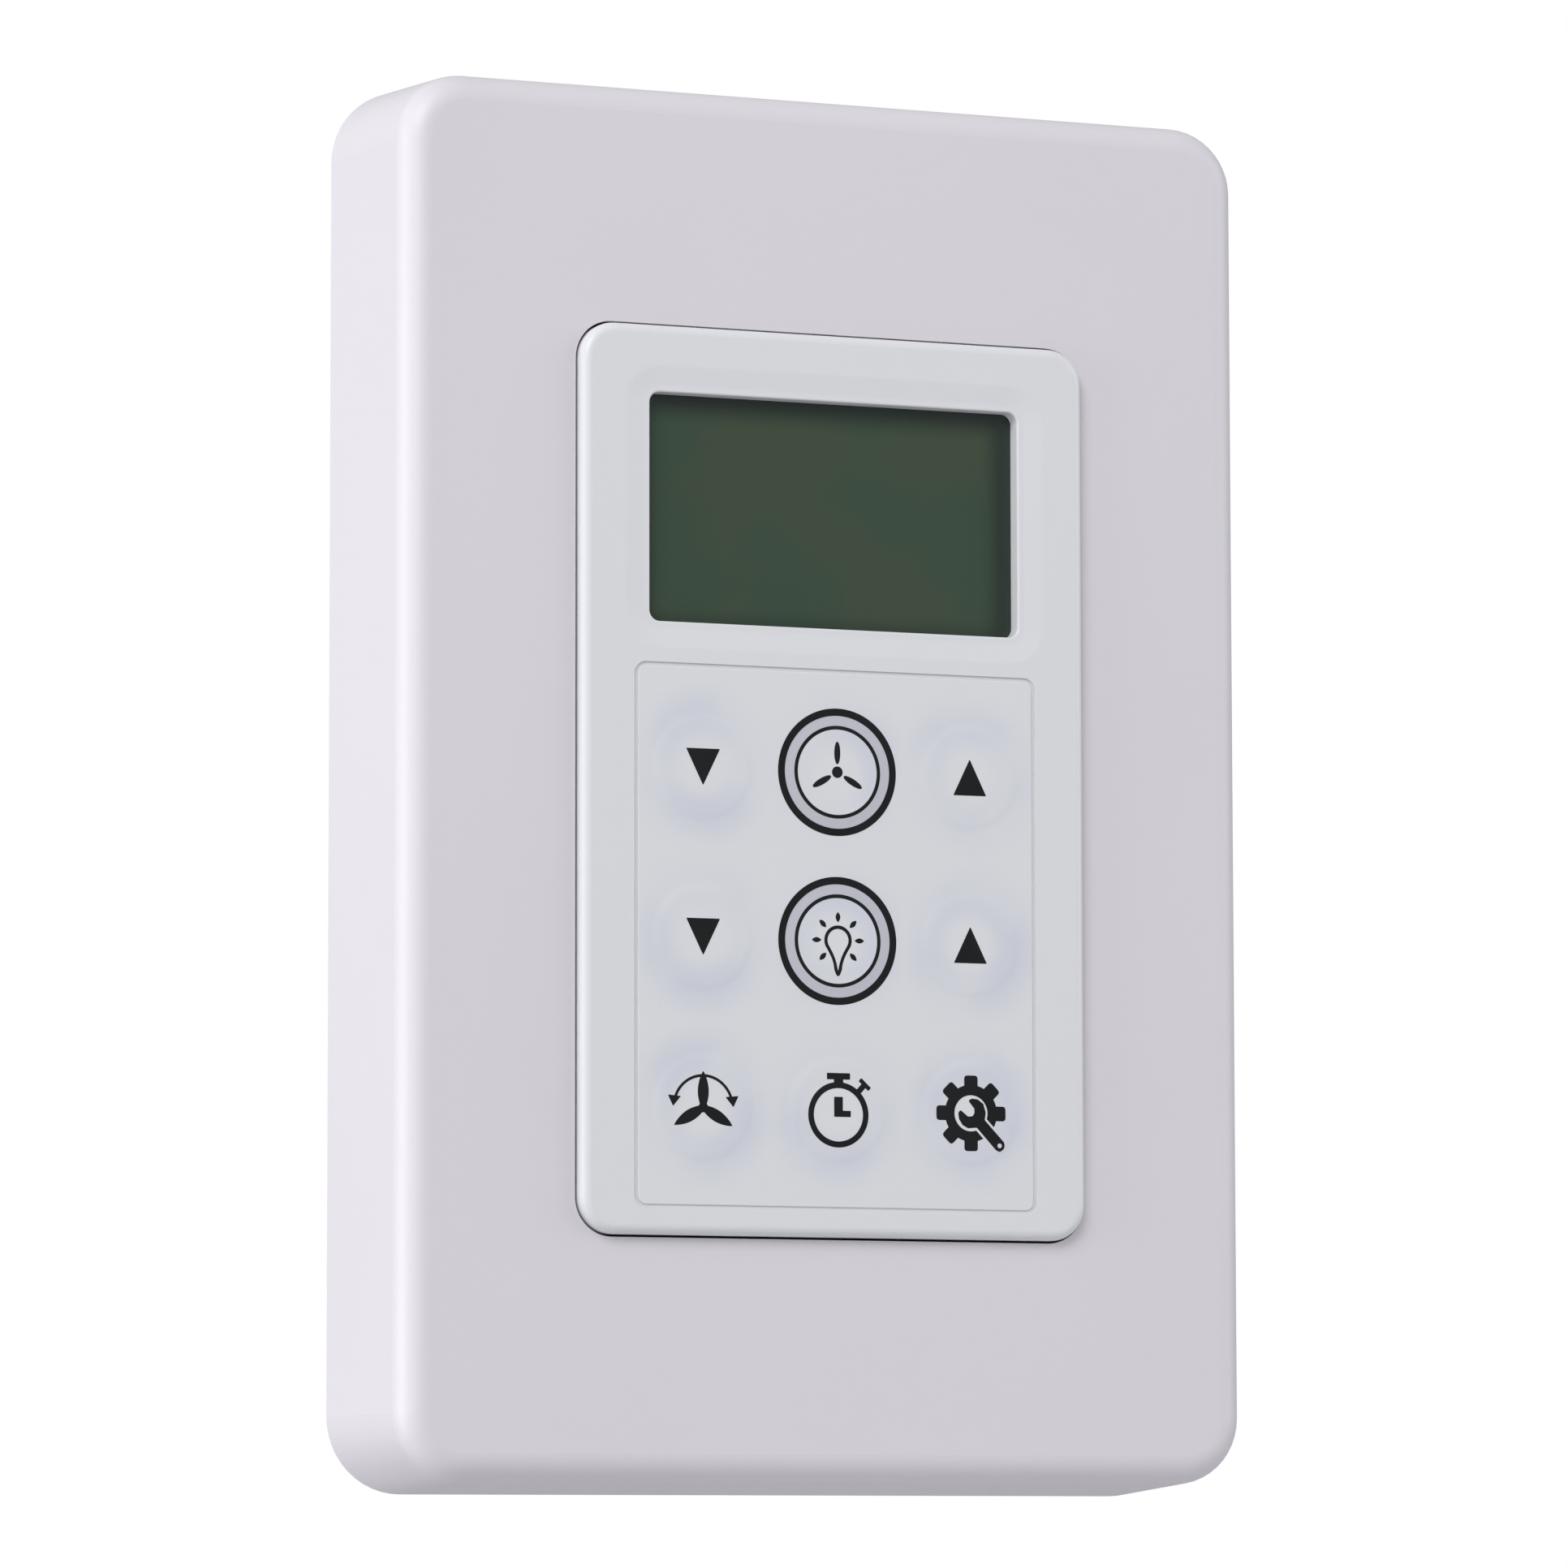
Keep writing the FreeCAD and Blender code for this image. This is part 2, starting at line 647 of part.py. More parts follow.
def make_display():
    pane_low = "(window_z - glass_height / 2)"
    for name, depth in (("lcd_front_polarizer", glass_front), ("lcd_rear_polarizer", guide_front)):
        node(block(name, "0", "window_z", depth, "glass_width - 2 * polarizer_inset",
                   "glass_height - 2 * polarizer_inset", "polarizer_thick"))
    node(block("lcd_front_glass", "0", "window_z", rear_glass_front, "glass_width", "glass_height",
               "glass_thick"))
    node(block("lcd_rear_glass", "0", "window_z - glass_ledge / 2", rear_glass_back, "glass_width",
               "glass_height + glass_ledge", "glass_thick"))
    node(block("lcd_light_guide", "0", "window_z", guide_back,
               "glass_width - 2 * holder_wall - 2 * lamp_size", "glass_height - 2 * holder_wall",
               "guide_thick"))
    node(block("lcd_reflector", "0", "window_z", guide_back + " - reflector_thick",
               "glass_width - 2 * holder_wall", "glass_height - 2 * holder_wall", "reflector_thick"))
    frame = block("holder_block", "0", "window_z", "board_front", "glass_width", "glass_height",
                  rear_glass_back + " - board_front")
    upper = block("holder_hollow", "0", "window_z", guide_back + " - reflector_thick",
                  "glass_width - 2 * holder_wall", "glass_height - 2 * holder_wall",
                  "guide_thick + reflector_thick + polarizer_thick + past")
    lower = block("holder_light_gap", "0", "window_z", "board_front - past", "glass_width - holder_gap_x",
                  "glass_height - holder_gap_z", "holder_gap_deep + past")
    node(cut("lcd_holder", frame, upper, lower))
    node(block("contact_strip", "0", pane_low + " - glass_ledge / 2", "board_front",
               "glass_width - strip_short", "strip_thick", rear_glass_back + " - board_front"))
    lamps = [block("lamp_%d_%d" % (side, row), "%d * (glass_width / 2 - holder_wall - lamp_size / 2)" % side,
                   "window_z + %d * lamp_pitch" % row, guide_back, "lamp_wide", "lamp_long", "lamp_tall")
             for side in (-1, 1) for row in (-1, 0, 1)]
    node(group("backlight_lamps", *lamps))


# display board and what is soldered on it

def make_display_board():
    body = part_body("display_board")
    outline = sketch(body, "board_outline", depth=board_back)
    rectangle(outline, board_width, board_height)
    for x, z in post_places():
        circle(outline, "board_screw + board_bore_slack", x, z)
    pad(body, outline, "board_thick")
    node(body)
    screws = []
    for index, (x, z) in enumerate(post_places()):
        head = peg("board_head_%d" % index, x, z, board_back + " - board_head_tall", "board_head",
                   "board_head_tall")
        shank = peg("board_shank_%d" % index, x, z, board_back + " - weld", "board_screw",
                    "board_thick + weld + board_screw_bite")
        screws.append(joined("board_screw_%d" % index, head, shank))
    node(group("board_screws", *screws))
    for name in ("microcontroller", "display_driver", "clock_crystal"):
        node(standing_block(name, name, "%s - %s_thick" % (board_back, name)))
    node(peg("buzzer", "buzzer_x", "buzzer_z", board_back + " - buzzer_thick", "buzzer_wide", "buzzer_thick"))


def standing_block(name, kind, depth, side=1):
    # block of one of the kinds that stand on a board, at its own place or mirrored
    return block(name, "%d * %s_x" % (side, kind), kind + "_z", depth, kind + "_wide", kind + "_tall",
                 kind + "_thick")


# board link: socket on the display board, pins standing on the power board

def make_link():
    places = ["(%d * link_pitch - 3.5 * link_pitch)" % index for index in range(8)]
    length = "(8 * link_pitch)"
    socket = block("link_socket_block", "0", "link_z", board_back + " - socket_tall", length, "link_wide",
                   "socket_tall")
    holes = [peg("link_hole_%d" % index, x, "link_z", board_back + " - socket_tall - past", "socket_hole",
                 "socket_tall") for index, x in enumerate(places)]
    node(cut("link_socket", socket, *holes))
    pins = [block("link_pin_%d" % index, x, "link_z", "power_front + link_strip_tall", "pin_wide", "pin_wide",
                  board_back + " - pin_short - power_front - link_strip_tall")
            for index, x in enumerate(places)]
    node(group("link_pins", *pins))
    node(block("link_strip", "0", "link_z", "power_front", length, "link_wide", "link_strip_tall"))


# yoke, clip frame and their screws

def make_yoke():
    body = part_body("mounting_yoke")
    plate = sketch(body, "yoke_outline")
    rectangle(plate, "yoke_width", "yoke_height", "yoke_corner")
    pad(body, plate, "yoke_thick")
    window = rectangle(sketch(body, "yoke_window", depth="yoke_thick"), "yoke_window_x", "yoke_window_z",
                       "yoke_window_corner")
    pocket(body, window, "yoke_thick + past")
    for side in (-1, 1):
        tag = "top" if side > 0 else "low"
        level = "%d * box_screw_pitch / 2" % side
        slot = rectangle(sketch(body, "box_slot_" + tag, depth="yoke_thick", z=level),
                         "box_screw + slot_slack + slot_extra", "box_screw + slot_slack",
                         "(box_screw + slot_slack) * round_end")
        pocket(body, slot, "yoke_thick + past")
        bore = circle(sketch(body, "plate_bore_" + tag, depth="yoke_thick",
                             z="%d * plate_screw_pitch / 2" % side), "case_screw + 2 * screw_slack")
        pocket(body, bore, "yoke_thick + past")
    for index, (sx, sz) in enumerate(corners):
        bore = circle(sketch(body, "case_bore_%d" % index, depth="yoke_thick", x="%d * pillar_x" % sx,
                             z="%d * pillar_z" % sz), "case_screw + bore_slack")
        pocket(body, bore, "yoke_thick + past")
    node(body)


def headed_screw(name, x, z, seat, shank, head, tall, back, neck):
    # pan head from the seat forwards, thread from the back up to the wall plane, neck
    # between them, cross recess in the head
    head_part = peg(name + "_head", x, z, seat, head, tall)
    thread_part = peg(name + "_thread", x, z, back, shank, "-box_thread_start - (%s)" % back)
    neck_part = peg(name + "_neck", x, z, "-neck_back", neck, "%s + 2 * neck_back" % seat)
    spans = (("cross_wide", "(%s) * cross_share" % head), ("(%s) * cross_share" % head, "cross_wide"))
    bars = [block(name + "_cross_%d" % turn, x, z, "%s + %s - cross_deep" % (seat, tall), wide, high,
                  "cross_deep + past") for turn, (wide, high) in enumerate(spans)]
    return cut(name, joined(name + "_blank", head_part, thread_part, neck_part), *bars)


def make_yoke_screws():
    box_screws = [headed_screw("box_screw_%s" % tag, "0", "%d * box_screw_pitch / 2" % side, "yoke_thick",
                               "box_screw", "screw_head", "screw_head_tall", "-box_screw_long",
                               "box_screw_neck")
                  for side, tag in ((1, "top"), (-1, "low"))]
    node(group("box_screws", *box_screws))
    seat = "yoke_thick + frame_thick"
    plate_screws = [headed_screw("plate_screw_%s" % tag, "0", "%d * plate_screw_pitch / 2" % side, seat,
                                 "case_screw", "plate_head", "plate_head_tall", "-plate_screw_long",
                                 "case_screw") for side, tag in ((1, "top"), (-1, "low"))]
    node(group("plate_screws", *plate_screws))


def make_clip_frame():
    body = part_body("clip_frame")
    outer_x = "(cover_width - 2 * (cover_wall + frame_clear + frame_inset))"
    outer_z = "(cover_height - 2 * (cover_wall + frame_clear + frame_inset))"
    plate = sketch(body, "frame_outline", depth="yoke_thick")
    rectangle(plate, outer_x, outer_z, "cover_corner - cover_wall - frame_clear")
    rectangle(plate, "module_width + 2 * frame_clear", "module_height + 2 * frame_clear",
              "module_corner + frame_clear")
    pad(body, plate, "frame_thick")
    # upstanding rim just inside the cover's walls
    rim = sketch(body, "frame_rim_outline", depth="yoke_thick + frame_thick - weld")
    rectangle(rim, outer_x, outer_z, "cover_corner - cover_wall - frame_clear")
    rectangle(rim, outer_x + " - 2 * frame_rim_thick", outer_z + " - 2 * frame_rim_thick",
              "cover_corner - cover_wall - frame_clear - frame_rim_thick")
    pad(body, rim, "frame_rim - frame_thick")
    # cheek walls beside the yoke that rest on the wall
    for side, tag in ((-1, "w"), (1, "e")):
        cheek = sketch(body, "frame_cheek_" + tag,
                       x="%d * (%s - cheek_wide) / 2" % (side, outer_x))
        rectangle(cheek, "cheek_wide", outer_z + " - cheek_short")
        pad(body, cheek, "yoke_thick + weld")
    for side, tag in ((-1, "low"), (1, "top")):
        access = circle(sketch(body, "box_access_" + tag, depth="yoke_thick + frame_thick",
                               z="%d * box_screw_pitch / 2" % side), "screw_head + driver_slack")
        pocket(body, access, "frame_thick + past / 2")
        hole = circle(sketch(body, "plate_hole_" + tag, depth="yoke_thick + frame_thick",
                             z="%d * plate_screw_pitch / 2" % side), "case_screw + plate_hole_slack")
        pocket(body, hole, "frame_thick + past / 2")
    # pockets in the rim for the spring clips
    for index, (x, z) in enumerate(clip_places()):
        gap = rectangle(sketch(body, "clip_gap_%d" % index, depth="frame_rim + yoke_thick", x=x, z=z),
                        "2 * frame_rim_thick + clip_room", "clip_width + clip_slack")
        pocket(body, gap, "frame_rim - frame_thick + 2 * weld")
    node(body)


def clip_places():
    return [("%d * %s" % (side, clip_reach), "%d * clip_pitch / 2" % level)
            for side in (-1, 1) for level in (-1, 1)]


def make_clips():
    # spring steel clips: a foot on the frame, a leaf standing up against the cover wall
    seat = "(yoke_thick + frame_thick)"
    clips = []
    for index, (x, z) in enumerate(clip_places()):
        side = -1 if index < 2 else 1
        foot = block("clip_foot_%d" % index, "%s - %d * (clip_foot / 2 + 2 * weld)" % (x, side), z, seat,
                     "clip_foot", "clip_width", "clip_thick")
        leaf = block("clip_leaf_%d" % index, "%s - %d * clip_thick / 2" % (x, side), z, seat, "clip_thick",
                     "clip_width", "clip_tall")
        bead = doc.addObject("Part::Cylinder", "clip_bead_%d" % index)
        bind(bead, Radius="clip_bead", Height="clip_width")
        bind(bead, Placement__Base__x="%s + %d * clip_bead_out" % (x, side),
             Placement__Base__y="-(%s + clip_tall - clip_bead_drop)" % seat,
             Placement__Base__z="(%s) - clip_width / 2" % z)
        clips.append(joined("cover_clip_%d" % index, foot, leaf, bead))
    node(group("cover_clips", *clips))


# rear housing with its vents and terminal opening, and its screws

def make_housing():
    body = part_body("rear_housing")
    shell = pad(body, rectangle(sketch(body, "housing_outline"), "housing_width", "housing_height",
                                "housing_corner"), "housing_deep", back=True)
    doc.recompute()
    rounded(body, shell, edges_where(shell.Shape, on_plane("-housing_deep")), "housing_edge")
    hollow = rectangle(sketch(body, "housing_hollow"), "housing_width - 2 * housing_wall",
                       "housing_height - 2 * housing_wall", "housing_corner - housing_wall")
    pocket(body, hollow, "housing_deep - housing_wall")
    for index, (sx, sz) in enumerate(corners):
        place = dict(x="%d * pillar_x" % sx, z="%d * pillar_z" % sz)
        post = circle(sketch(body, "pillar_%d" % index, **place), "pillar")
        pad(body, post, "housing_deep - pillar_short", back=True)
        bore = circle(sketch(body, "pillar_bore_%d" % index, **place), "case_screw + bore_slack")
        pocket(body, bore, "housing_deep + past")
        sink = circle(sketch(body, "pillar_sink_%d" % index, depth="sink_deep - housing_deep", **place),
                      "case_screw_head + sink_slack")
        pocket(body, sink, "sink_deep + past")
    for index in range(5):
        vent = rectangle(sketch(body, "vent_%d" % index, depth=housing_inner,
                                z="vent_low + %d * vent_pitch" % index), "vent_long", "vent_wide",
                         "vent_wide * round_end")
        pocket(body, vent, "housing_wall + past")
    mouth = rectangle(sketch(body, "terminal_mouth", depth=power_back + " - 2 * weld", z=terminal_z()),
                      "terminal_width + 2 * terminal_slack", "terminal_height + 2 * terminal_slack")
    pocket(body, mouth, "housing_deep")
    # rails on the side walls that carry the power board
    for side, tag in ((-1, "w"), (1, "e")):
        rail = rectangle(sketch(body, "board_rail_" + tag, depth=housing_inner,
                                x="%d * (housing_width / 2 - housing_wall - rail_wide / 2 + weld)" % side),
                         "rail_wide", "rail_long")
        pad(body, rail, power_back + " - " + housing_inner)
    # wire side left open below the terminals
    side = rectangle(sketch(body, "wire_mouth", depth=power_back + " - 2 * weld", z="-housing_height / 2"),
                     "terminal_width + 2 * terminal_slack", "2 * (housing_wall + 2 * past)")
    pocket(body, side, "housing_deep")
    node(body)


def terminal_z():
    return "(-housing_height / 2 + housing_wall + terminal_height / 2 + terminal_rise)"


def make_case_screws():
    screws = []
    for index, (sx, sz) in enumerate(corners):
        x = "%d * pillar_x" % sx
        z = "%d * pillar_z" % sz
        head = peg("case_head_%d" % index, x, z, "case_head_inset - housing_deep", "case_screw_head",
                   "case_screw_head_tall")
        shank = peg("case_shank_%d" % index, x, z, "past - housing_deep", "case_screw",
                    "housing_deep - past + %s - boss_short - 2 * boss_floor" % board_back)
        spans = (("cross_wide", "case_cross_long"), ("case_cross_long", "cross_wide"))
        bars = [block("case_cross_%d_%d" % (index, turn), x, z, "-housing_deep - past", wide, high,
                      "2 * past") for turn, (wide, high) in enumerate(spans)]
        screws.append(cut("case_screw_%d" % index, joined("case_blank_%d" % index, head, shank), *bars))
    node(group("case_screws", *screws))


# power board with its parts, and the terminal block behind it

def make_power_board():
    body = part_body("power_board")
    plate = sketch(body, "power_outline", depth=power_back)
    rectangle(plate, "housing_width - 2 * housing_wall - 2 * board_clear",
              "2 * pillar_z - pillar - power_clear")
    pad(body, plate, "power_thick")
    node(body)
    core = standing_block("core_block", "core", "power_front + core_rise")
    slots = [block("core_slot_%d" % side, "%d * (core_limb + core_window_wide) / 2" % side, "core_z",
                   "power_front", "core_window_wide", "core_window_tall", "core_thick + 3 * past")
             for side in (-1, 1)]
    node(cut("transformer_core", core, *slots))
    wound = standing_block("bobbin_block", "bobbin", "power_front + bobbin_rise")
    leg = block("bobbin_hole", "0", "core_z", "power_front + core_rise - bobbin_slack",
                "core_limb + 2 * bobbin_slack", "core_tall + past", "core_thick + 2 * bobbin_slack")
    node(cut("transformer_bobbin", wound, leg))
    capacitors = [peg("bulk_capacitor_%d" % side, "%d * bulk_capacitor_x" % side, "bulk_capacitor_z",
                      "power_front", "bulk_capacitor_wide", "bulk_capacitor_thick") for side in (-1, 1)]
    node(group("bulk_capacitors", *capacitors))
    for side, label in ((-1, "fan_relay"), (1, "light_relay")):
        node(standing_block("relay_%d" % side, "relay", "power_front", side), label)
    node(peg_x("supply_fuse", "supply_fuse_x", "supply_fuse_z", "power_front + fuse_rise",
               "supply_fuse_thick", "supply_fuse_wide"))
    node(peg("surge_absorber", "surge_absorber_x", "surge_absorber_z", "power_front", "surge_absorber_wide",
             "surge_absorber_thick"))


def terminal_places():
    return ["(%d * terminal_pitch)" % index for index in range(-2, 3)]


def make_terminals():
    rear = "-(terminal_tall) + %s" % power_back
    shell = block("terminal_shell", "0", terminal_z(), rear, "terminal_width", "terminal_height",
                  "terminal_tall")
    level = terminal_z() + " + terminal_up"
    tools, screws, clamps = [], [], []
    for index, x in enumerate(terminal_places()):
        tools.append(peg("terminal_well_%d" % index, x, level, rear + " - past",
                         "terminal_screw + terminal_well_slack", "terminal_well_deep + past"))
        entry = doc.addObject("Part::Cylinder", "wire_entry_%d" % index)
        bind(entry, Radius="wire_hole / 2", Height="wire_deep + past")
        bind(entry, Placement__Base__x=x,
             Placement__Base__y="terminal_tall - wire_behind - (%s)" % power_back,
             Placement__Base__z=terminal_z() + " - terminal_height / 2 - past")
        tools.append(entry)
        head = peg("terminal_head_%d" % index, x, level, rear + " + past", "terminal_screw",
                   "terminal_head_tall")
        bar = block("terminal_slot_%d" % index, x, level, rear, "terminal_screw * 0.9", "terminal_slot",
                    "past + terminal_slot_deep")
        screws.append(cut("terminal_screw_%d" % index, head, bar))
        clamps.append(block("terminal_clamp_%d" % index, x, level, rear + " + clamp_deep", "clamp_size",
                            "clamp_size", "clamp_thick"))
    node(cut("terminal_block", shell, *tools))
    node(group("terminal_screws", *screws))
    node(group("terminal_clamps", *clamps))


make_cover()
make_module()
make_film()
make_keys()
make_switches()
make_display()
make_display_board()
make_link()
make_yoke()
make_yoke_screws()
make_clip_frame()
make_clips()
make_housing()
make_case_screws()
make_power_board()
make_terminals()
doc.recompute()

failed = [item.Name for item in doc.Objects if "Invalid" in item.State or "Error" in item.State]
if failed:
    raise RuntimeError("objects that failed: " + ", ".join(failed))
for item in nodes:
    if item.Shape.isNull() or not item.Shape.isValid():
        raise RuntimeError(item.Label + " has no valid shape")

os.makedirs("parts", exist_ok=True)
for item in nodes:
    item.Shape.exportStep("parts/" + item.Label + ".step")
    box = item.Shape.BoundBox
    print("%-22s %2d solids %9.1f mm3  x %6.1f %6.1f  depth %6.1f %6.1f  z %6.1f %6.1f" % (
        item.Label, len(item.Shape.Solids), item.Shape.Volume, box.XMin, box.XMax, -box.YMax, -box.YMin,
        box.ZMin, box.ZMax))
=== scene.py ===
import json
import math
import bmesh
import bpy
from mathutils import Matrix, Vector
from mathutils.geometry import delaunay_2d_cdt


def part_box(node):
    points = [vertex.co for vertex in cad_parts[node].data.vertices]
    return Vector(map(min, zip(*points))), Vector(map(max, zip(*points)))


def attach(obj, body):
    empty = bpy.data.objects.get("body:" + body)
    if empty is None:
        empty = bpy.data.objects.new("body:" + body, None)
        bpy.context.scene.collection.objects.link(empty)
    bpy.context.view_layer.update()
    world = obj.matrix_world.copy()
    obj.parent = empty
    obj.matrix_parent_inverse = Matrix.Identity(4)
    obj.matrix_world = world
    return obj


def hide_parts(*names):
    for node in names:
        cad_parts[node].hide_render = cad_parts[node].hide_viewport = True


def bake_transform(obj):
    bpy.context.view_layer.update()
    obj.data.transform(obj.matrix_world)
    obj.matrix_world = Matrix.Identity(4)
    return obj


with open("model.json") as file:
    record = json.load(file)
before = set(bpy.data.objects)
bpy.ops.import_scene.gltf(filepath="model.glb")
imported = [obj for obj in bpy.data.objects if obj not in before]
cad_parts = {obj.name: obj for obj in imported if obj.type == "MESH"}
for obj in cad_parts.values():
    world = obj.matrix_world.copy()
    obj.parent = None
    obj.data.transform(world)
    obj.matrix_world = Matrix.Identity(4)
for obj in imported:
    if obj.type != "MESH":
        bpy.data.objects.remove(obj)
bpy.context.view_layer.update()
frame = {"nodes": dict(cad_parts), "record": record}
mm = 0.001
print("frame loaded:", len(frame["nodes"]), "nodes")


# camera, lights and floor

view = {
    "azimuth": -22.825, "elevation": -5.646, "roll": -0.091,  # degrees
    "distance": 0.67852, "aimRight": 0.00206, "aimUp": 0.00149,
    "lens": 184.03,
}


def makeCamera():
    yaw = math.radians(-view["azimuth"])
    pitch = math.radians(-view["elevation"])
    roll = math.radians(view["roll"])
    forward = Vector((math.sin(yaw) * math.cos(pitch), math.cos(yaw) * math.cos(pitch), math.sin(pitch)))
    right = Vector((math.cos(yaw), -math.sin(yaw), 0))
    up = right.cross(forward)
    place = -view["distance"] * forward + view["aimRight"] * right + view["aimUp"] * up
    turnedRight = math.cos(roll) * right + math.sin(roll) * up
    turnedUp = math.cos(roll) * up - math.sin(roll) * right
    data = bpy.data.cameras.new("camera")
    data.lens = view["lens"]
    data.sensor_width = 36
    data.clip_start = 0.01
    camera = bpy.data.objects.new("camera", data)
    rows = Matrix((turnedRight, turnedUp, -forward)).transposed().to_4x4()
    camera.matrix_world = Matrix.Translation(place) @ rows
    bpy.context.collection.objects.link(camera)
    bpy.context.scene.camera = camera


studio = {
    "key": {"at": (-1.0, -1.1, 1.05), "size": 0.9, "watts": 20.2, "tint": (1.0, 0.99, 0.99)},
    "side": {"at": (-1.3, 0.0, 0.0), "size": 0.8, "watts": 9.0, "tint": (1.0, 0.99, 1.0)},
    "fill": {"at": (1.7, -0.8, 0.4), "size": 1.2, "watts": 11.0, "tint": (0.98, 0.985, 1.0)},
    "surround": 0.42, "floorDrop": 1.2, "floorHalf": 14.0, "floorSteps": 8, "floorGlow": 0.42,
}


def makeLights():
    for name in ("key", "side", "fill"):
        setting = studio[name]
        data = bpy.data.lights.new(name + "Light", "AREA")
        data.shape = "SQUARE"
        data.size = setting["size"]
        data.energy = setting["watts"]
        data.color = setting["tint"]
        lamp = bpy.data.objects.new(name + "Light", data)
        lamp.location = setting["at"]
        lamp.rotation_euler = (-Vector(setting["at"])).to_track_quat("-Z", "Y").to_euler()
        bpy.context.collection.objects.link(lamp)
    world = bpy.data.worlds.new("studio")
    world.use_nodes = True
    tree = world.node_tree
    tree.nodes.clear()
    out = addNode(tree, "ShaderNodeOutputWorld")
    mix = addNode(tree, "ShaderNodeMixShader")
    path = addNode(tree, "ShaderNodeLightPath")
    lit = addNode(tree, "ShaderNodeBackground", Strength=studio["surround"], Color=(1, 0.995, 1, 1))
    seen = addNode(tree, "ShaderNodeBackground", Color=(1, 1, 1, 1))
    link(tree, path.outputs["Is Camera Ray"], mix.inputs["Fac"])
    link(tree, lit.outputs[0], mix.inputs[1])
    link(tree, seen.outputs[0], mix.inputs[2])
    link(tree, mix.outputs[0], out.inputs["Surface"])
    bpy.context.scene.world = world
    bpy.context.scene.view_settings.view_transform = "Standard"


def makeFloor():
    mesh = bmesh.new()
    steps = studio["floorSteps"]
    bmesh.ops.create_grid(mesh, x_segments=steps, y_segments=steps, size=studio["floorHalf"])
    data = bpy.data.meshes.new("floor")
    mesh.to_mesh(data)
    mesh.free()
    floor = bpy.data.objects.new("floor", data)
    floor.location = (0, 0, -studio["floorDrop"])
    bpy.context.collection.objects.link(floor)
    floor.data.materials.append(materials["floor"])
    # the floor lies far below the lamps, so its seen tone is lifted without throwing light on the object
    tree = materials["floor"].node_tree
    shader = tree.nodes["Principled BSDF"]
    path = addNode(tree, "ShaderNodeLightPath")
    glow = maths(tree, "MULTIPLY", path.outputs["Is Camera Ray"], studio["floorGlow"])
    link(tree, glow, shader.inputs["Emission Strength"])
    shader.inputs["Emission Color"].default_value = (1, 1, 1, 1)


# node groups that the materials share

def newGroup(name, inputs, outputs):
    group = bpy.data.node_groups.new(name, "ShaderNodeTree")
    for label, kind, value in inputs:
        socket = group.interface.new_socket(label, in_out="INPUT", socket_type=kind)
        socket.default_value = value
    for label, kind in outputs:
        group.interface.new_socket(label, in_out="OUTPUT", socket_type=kind)
    start = group.nodes.new("NodeGroupInput")
    end = group.nodes.new("NodeGroupOutput")
    return group, start, end


def addNode(tree, kind, **values):
    item = tree.nodes.new(kind)
    for key, value in values.items():
        if key in item.bl_rna.properties:
            setattr(item, key, value)
        else:
            item.inputs[key.replace("_", " ")].default_value = value
    return item


def link(tree, source, target):
    tree.links.new(source, target)


def maths(tree, operation, *values):
    # one Math node, where each value is a number or another node's output
    item = addNode(tree, "ShaderNodeMath", operation=operation)
    for socket, value in zip(item.inputs, values):
        if isinstance(value, (int, float)):
            socket.default_value = value
        else:
            link(tree, value, socket)
    return item.outputs[0]


def softStep(tree, value, low, high):
    # 0 at low and 1 at high, with soft ends
    item = addNode(tree, "ShaderNodeMapRange", interpolation_type="SMOOTHSTEP", From_Min=low, From_Max=high)
    link(tree, value, item.inputs["Value"])
    return item.outputs["Result"]


def mixColours(tree, share, first, second):
    # first where share is 0, second where it is 1
    item = addNode(tree, "ShaderNodeMix", data_type="RGBA")
    link(tree, share, item.inputs["Factor"])
    for label, colour in (("A", first), ("B", second)):
        if isinstance(colour, tuple):
            item.inputs[label].default_value = (*colour, 1)
        else:
            link(tree, colour, item.inputs[label])
    return item.outputs["Result"]


def objectPlace(tree):
    # position on the object, in metres from its own origin
    return addNode(tree, "ShaderNodeTexCoord").outputs["Object"]


def grainGroup():
    # fine moulded or sprayed grain: a height for Bump and a roughness that follows it
    group, start, end = newGroup("fineGrain", [
        ("Scale", "NodeSocketFloat", 3000.0), ("Roughness", "NodeSocketFloat", 0.45),
        ("Spread", "NodeSocketFloat", 0.08)],
        [("Height", "NodeSocketFloat"), ("Roughness", "NodeSocketFloat")])
    place = objectPlace(group)
    fine = addNode(group, "ShaderNodeTexNoise", Detail=3.0, Roughness=0.6)
    broad = addNode(group, "ShaderNodeTexNoise", Scale=60.0, Detail=2.0)
    link(group, place, fine.inputs["Vector"])
    link(group, place, broad.inputs["Vector"])
    link(group, start.outputs["Scale"], fine.inputs["Scale"])
    both = maths(group, "ADD", fine.outputs["Fac"], broad.outputs["Fac"])
    centred = maths(group, "SUBTRACT", both, 1.0)
    rough = maths(group, "MULTIPLY_ADD", centred, start.outputs["Spread"], start.outputs["Roughness"])
    link(group, fine.outputs["Fac"], end.inputs["Height"])
    link(group, rough, end.inputs["Roughness"])
    return group


